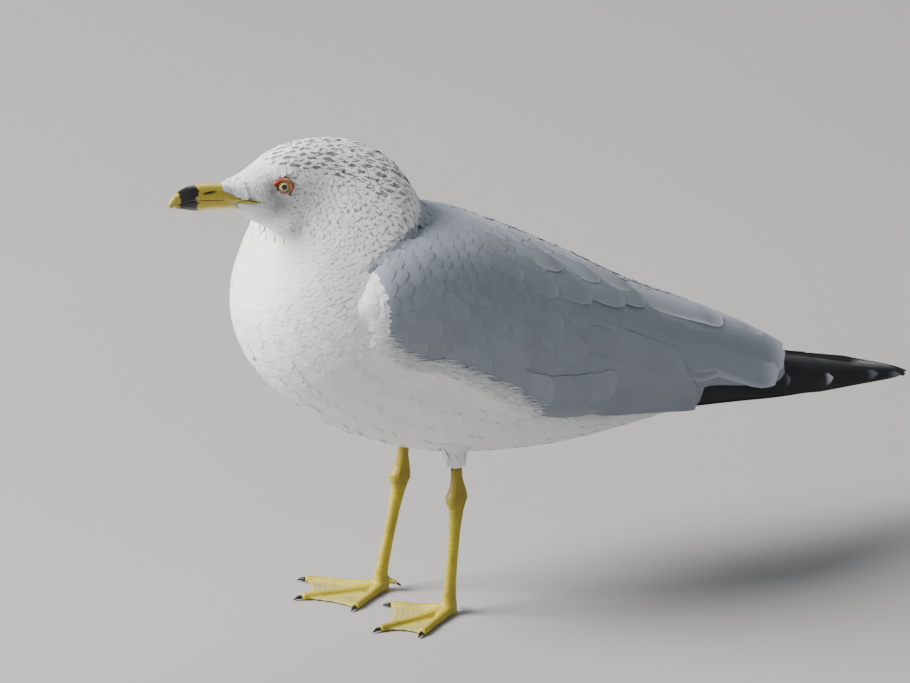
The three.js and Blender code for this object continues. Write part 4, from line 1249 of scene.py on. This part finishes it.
for side, suffix in SIDES:
    place = head_point(EYE_SPOT[0], EYE_SPOT[1] * side, EYE_SPOT[2])
    axis = unit(head_point(EYE_AXIS[0], EYE_AXIS[1] * side, EYE_AXIS[2]) - head_zero)
    front = unit(np.cross(axis, [0.0, 0.0, 1.0])) * side
    up = unit(np.cross(front, axis)) * side
    # the ball
    theta = np.radians(EYE_RINGS)[:, None]
    phi = (np.arange(EYE_SIDES) / EYE_SIDES * 2 * math.pi)[None]
    radius = EYE_RADIUS - 0.1 + 0.35 * np.clip(1 - (EYE_RINGS / 38) ** 2, 0, 1)[:, None]
    points = place + (axis * (np.cos(theta) * radius)[..., None]
                      + front * (np.sin(theta) * np.cos(phi) * radius)[..., None]
                      + up * (np.sin(theta) * np.sin(phi) * radius)[..., None])
    first_ring = np.arange(EYE_SIDES)[None]
    last_ring = first_ring[:, ::-1] + (len(EYE_RINGS) - 1) * EYE_SIDES
    faces = [facing(part, side < 0) for part in (tube_faces(len(EYE_RINGS), EYE_SIDES), first_ring, last_ring)]
    flat = np.repeat(EYE_RINGS, EYE_SIDES)
    values = {
        "black": (flat < PUPIL).astype(float),
        "mark": np.clip(smooth(35, 40.5, flat) + 0.3 * smooth(20, 15.5, flat), 0, 1),
    }
    ball = dress(make_piece("eyeball_" + suffix, points.reshape(-1, 3), faces, EYE, values))
    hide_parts("eye_" + suffix)
    # the lids
    phi = (np.arange(LID_SIDES) / LID_SIDES * 2 * math.pi)[None]
    wide_front, wide_back, tall, high = (LIDS[:, k][:, None] for k in range(4))
    wide = np.where(np.cos(phi) > 0, wide_front, wide_back)
    corner = 1 + 0.1 * np.clip((wide - 3.3) / 1.5, 0, 1) * np.abs(np.cos(phi)) ** 6
    rough = 1 + 0.012 * np.sin(phi * 17) * (wide > 2.7)
    points = place + (front * (wide * np.cos(phi) * corner * rough)[..., None]
                      + up * (tall * np.sin(phi) * rough)[..., None] + axis * (high + 0 * phi)[..., None])
    faces = facing(tube_faces(len(LIDS), LID_SIDES), side < 0)
    values = {
        "tone": smooth(0.2, -0.6, np.cos(phi) + 0 * wide - 0.25 * np.sin(phi)).ravel(),
        "pale": (smooth(0.75, 1.0, -np.sin(phi)) * smooth(3.5, 4.2, wide)).ravel() * 0.5,
    }
    lids = dress(make_piece("eye_ring_" + suffix, points.reshape(-1, 3), [faces], LID, values))
    thick = lids.modifiers.new("thick", "SOLIDIFY")
    thick.thickness = 0.4 * MM
    thick.offset = -1

# ------------------------------------------------------------------ legs, feet and claws
HEELS = {1: np.array([24.0, 1.5]), -1: np.array([-24.5, -11.5])}
TOES = {
    1: np.array([[-3.0, -23.0], [29.5, -47.5], [48.0, -31.0]]),
    -1: np.array([[-3.5, -41.5], [-34.0, -59.0], [-59.5, -42.5]]),
}
SCUTE = 2.9
TOE_SCUTE = 2.1


# yellow skin with grooves and creases darkened as painted shade, paler webs, the upper leg painted a darker
# olive as shade, more so on its back, and a little dust
scaly = Shader("leg_skin", 0.55, Coat_Weight=0.08, Coat_Roughness=0.4)
leg_patch = scaly.ramp(scaly.noise(45.0, 5.0), 0.3, 0.7)
web_patch = scaly.ramp(scaly.noise(110.0), 0.35, 0.7)
leg_colour = scaly.mix(leg_patch, (186, 168, 40), (156, 142, 42))
web_colour = scaly.mix(web_patch, (170, 160, 70), (150, 142, 92))
# mark is painted shade in the grooves and creases, olive is painted shade on the upper leg
leg_colour = scaly.layered(leg_colour, ("mark", (124, 106, 40)), ("tone", web_colour),
                           ("olive", (138, 116, 34)))
dust = scaly.times(scaly.ramp(scaly.noise(170.0, 4.0), 0.52, 0.8), 0.45)
scaly.colour(scaly.mix(dust, leg_colour, (128, 104, 58)))
leg_scales = {"Scale": 520.0, "Vector": scaly.place()}
LEG = scaly.bump(scaly.node("ShaderNodeTexVoronoi", leg_scales, output="Distance"), 0.00025, 0.45)

claw_shader = Shader("claw_horn", 0.45)
claw_shader.colour(claw_shader.mix(claw_shader.noise(300.0), (24, 22, 22), (40, 37, 35)))
CLAW = claw_shader.bump(claw_shader.noise(500.0), 0.00003, 0.2)


def groove(distance, pitch, width=0.16):
    """1 in the grooves between scutes that repeat at a pitch."""
    phase = np.abs((distance / pitch) % 1.0 - 0.5) * 2
    return smooth(1 - width * 2, 1.0, phase)


for side, suffix in SIDES:
    nodes = ["tibia_" + suffix, "tarsus_" + suffix, "foot_" + suffix]
    points, faces, normals = remeshed(nodes, LEG_VOXEL, 4)
    heel = HEELS[side]
    shank = smooth(7.0, 12.0, points[:, 2])
    front = smooth(-0.2, 0.5, -normals[:, 1])
    rings = groove(points[:, 2] + 0.5 * np.sin(points[:, 0] * 1.1), SCUTE) * front * shank
    joint = np.exp(-((points[:, 2] - 61) / 5.0) ** 2)
    creases = groove(points[:, 2] + 0.4 * np.sin(points[:, 0]), 1.5, 0.3) * joint * (1 - 0.3 * front)
    flat = points[:, :2] - heel
    best = np.full(len(points), 1e9)
    along = np.zeros(len(points))
    for toe in TOES[side]:
        way = unit(toe - heel)
        far = flat @ way
        off = np.abs(flat[:, 0] * way[1] - flat[:, 1] * way[0])
        nearer = (off < best) & (far > -3)
        best = np.where(nearer, off, best)
        along = np.where(nearer, far, along)
    on_toe = smooth(2.8, 1.6, best) * (1 - shank) * smooth(0.2, 0.7, normals[:, 2])
    toe_rings = groove(along + 0.3 * best, TOE_SCUTE, 0.2) * on_toe
    web = smooth(2.2, 3.4, best) * (1 - shank)
    folds = 0.08 * np.sin(along * 2.2 + best * 0.8) * web
    off_floor = smooth(0.15, 0.8, points[:, 2])
    knob = 1.5 * np.exp(-((points[:, 2] - 62) / 3.6) ** 2) * smooth(0.0, 0.7, -normals[:, 1])
    knob = knob + 0.7 * np.exp(-((points[:, 2] - 66) / 6.0) ** 2) * smooth(0.0, 0.7, normals[:, 1])
    move = (-0.14 * rings - 0.2 * creases - 0.14 * toe_rings + folds) * off_floor + knob
    points = points + normals * move[:, None]
    points[:, 2] = np.maximum(points[:, 2], 0.0)
    # painted shade: darker olive on the upper leg, reaching lower on the side that faces backwards
    olive = 0.65 * smooth(44, 66, points[:, 2] + 0.8 * normals[:, 1] * 10)
    # painted shade in the grooves between scutes, on the toes and in the creases at the ankle
    marks = np.clip(0.45 * rings + 0.8 * creases + 0.6 * toe_rings, 0, 1) * 0.7
    values = {"mark": marks, "tone": web, "olive": olive}
    leg = dress(make_piece("leg_" + suffix, points, faces, LEG, values))
    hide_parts(*nodes)
    for toe in ("inner", "middle", "outer", "hind"):
        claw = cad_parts["claw_" + toe + "_" + suffix]
        claw.data.materials[0] = CLAW
        weld = claw.modifiers.new("weld", "WELD")
        weld.merge_threshold = 0.02 * MM
        round_off = claw.modifiers.new("round", "SUBSURF")
        round_off.levels = 2
        round_off.render_levels = 2

# ------------------------------------------------------------------ camera, floor and light
AZIMUTH = math.radians(59.6485)
ELEVATION = math.radians(17.9985)
DISTANCE = 3500.0
FOCAL_PIXELS = 6778.7
TARGET = np.array([9.6, 13.47, 143.04])
FRAME_WIDTH = 910
SENSOR = 36.0

level = math.cos(ELEVATION)
look = np.array([math.sin(AZIMUTH) * level, -math.cos(AZIMUTH) * level, math.sin(ELEVATION)])
camera_data = bpy.data.cameras.new("camera")
camera_data.sensor_width = SENSOR
camera_data.lens = FOCAL_PIXELS * SENSOR / FRAME_WIDTH
camera_data.clip_end = 50
camera = bpy.data.objects.new("camera", camera_data)
camera.location = (TARGET + look * DISTANCE + SHIFT) * MM
camera.rotation_euler = Vector(look).to_track_quat("Z", "Y").to_euler()
bpy.context.scene.collection.objects.link(camera)
bpy.context.scene.camera = camera

FLOOR_SIZE = 12.0
BIRD_MIDDLE = 0.14  # the height that the lights face
floor_shader = Shader("pale_floor", 0.9)
floor_grain = floor_shader.noise(2.0)
floor_shader.colour(floor_shader.mix(floor_grain, (150, 149, 147), (158, 157, 155)))
floor_material = floor_shader.bump(floor_shader.noise(400.0), 0.0002, 0.2)
floor_points = np.array([[-1, -1, 0], [1, -1, 0], [1, 1, 0], [-1, 1, 0]]) * FLOOR_SIZE / 2 / MM - SHIFT
floor = make_piece("floor", floor_points, [np.array([[0, 1, 2, 3]])], floor_material)


def area_light(name, place, size, power, colour):
    data = bpy.data.lights.new(name, "AREA")
    data.shape = "DISK"
    data.size = size
    data.energy = power
    data.color = colour
    light = bpy.data.objects.new(name, data)
    light.location = place
    light.rotation_euler = (Vector(place) - Vector((0, 0, BIRD_MIDDLE))).to_track_quat("Z", "Y").to_euler()
    bpy.context.scene.collection.objects.link(light)


area_light("key", (-0.9, -2.6, 2.2), 1.9, 375, (1.0, 0.98, 0.95))
area_light("fill", (2.6, 0.4, 1.2), 2.2, 5, (0.93, 0.96, 1.0))
area_light("back", (-1.6, 1.8, 2.4), 1.6, 26, (0.95, 0.97, 1.0))
world = bpy.data.worlds.new("world")
world.use_nodes = True
world.node_tree.nodes["Background"].inputs["Color"].default_value = (0.86, 0.9, 1.0, 1)
world.node_tree.nodes["Background"].inputs["Strength"].default_value = 0.32
bpy.context.scene.world = world
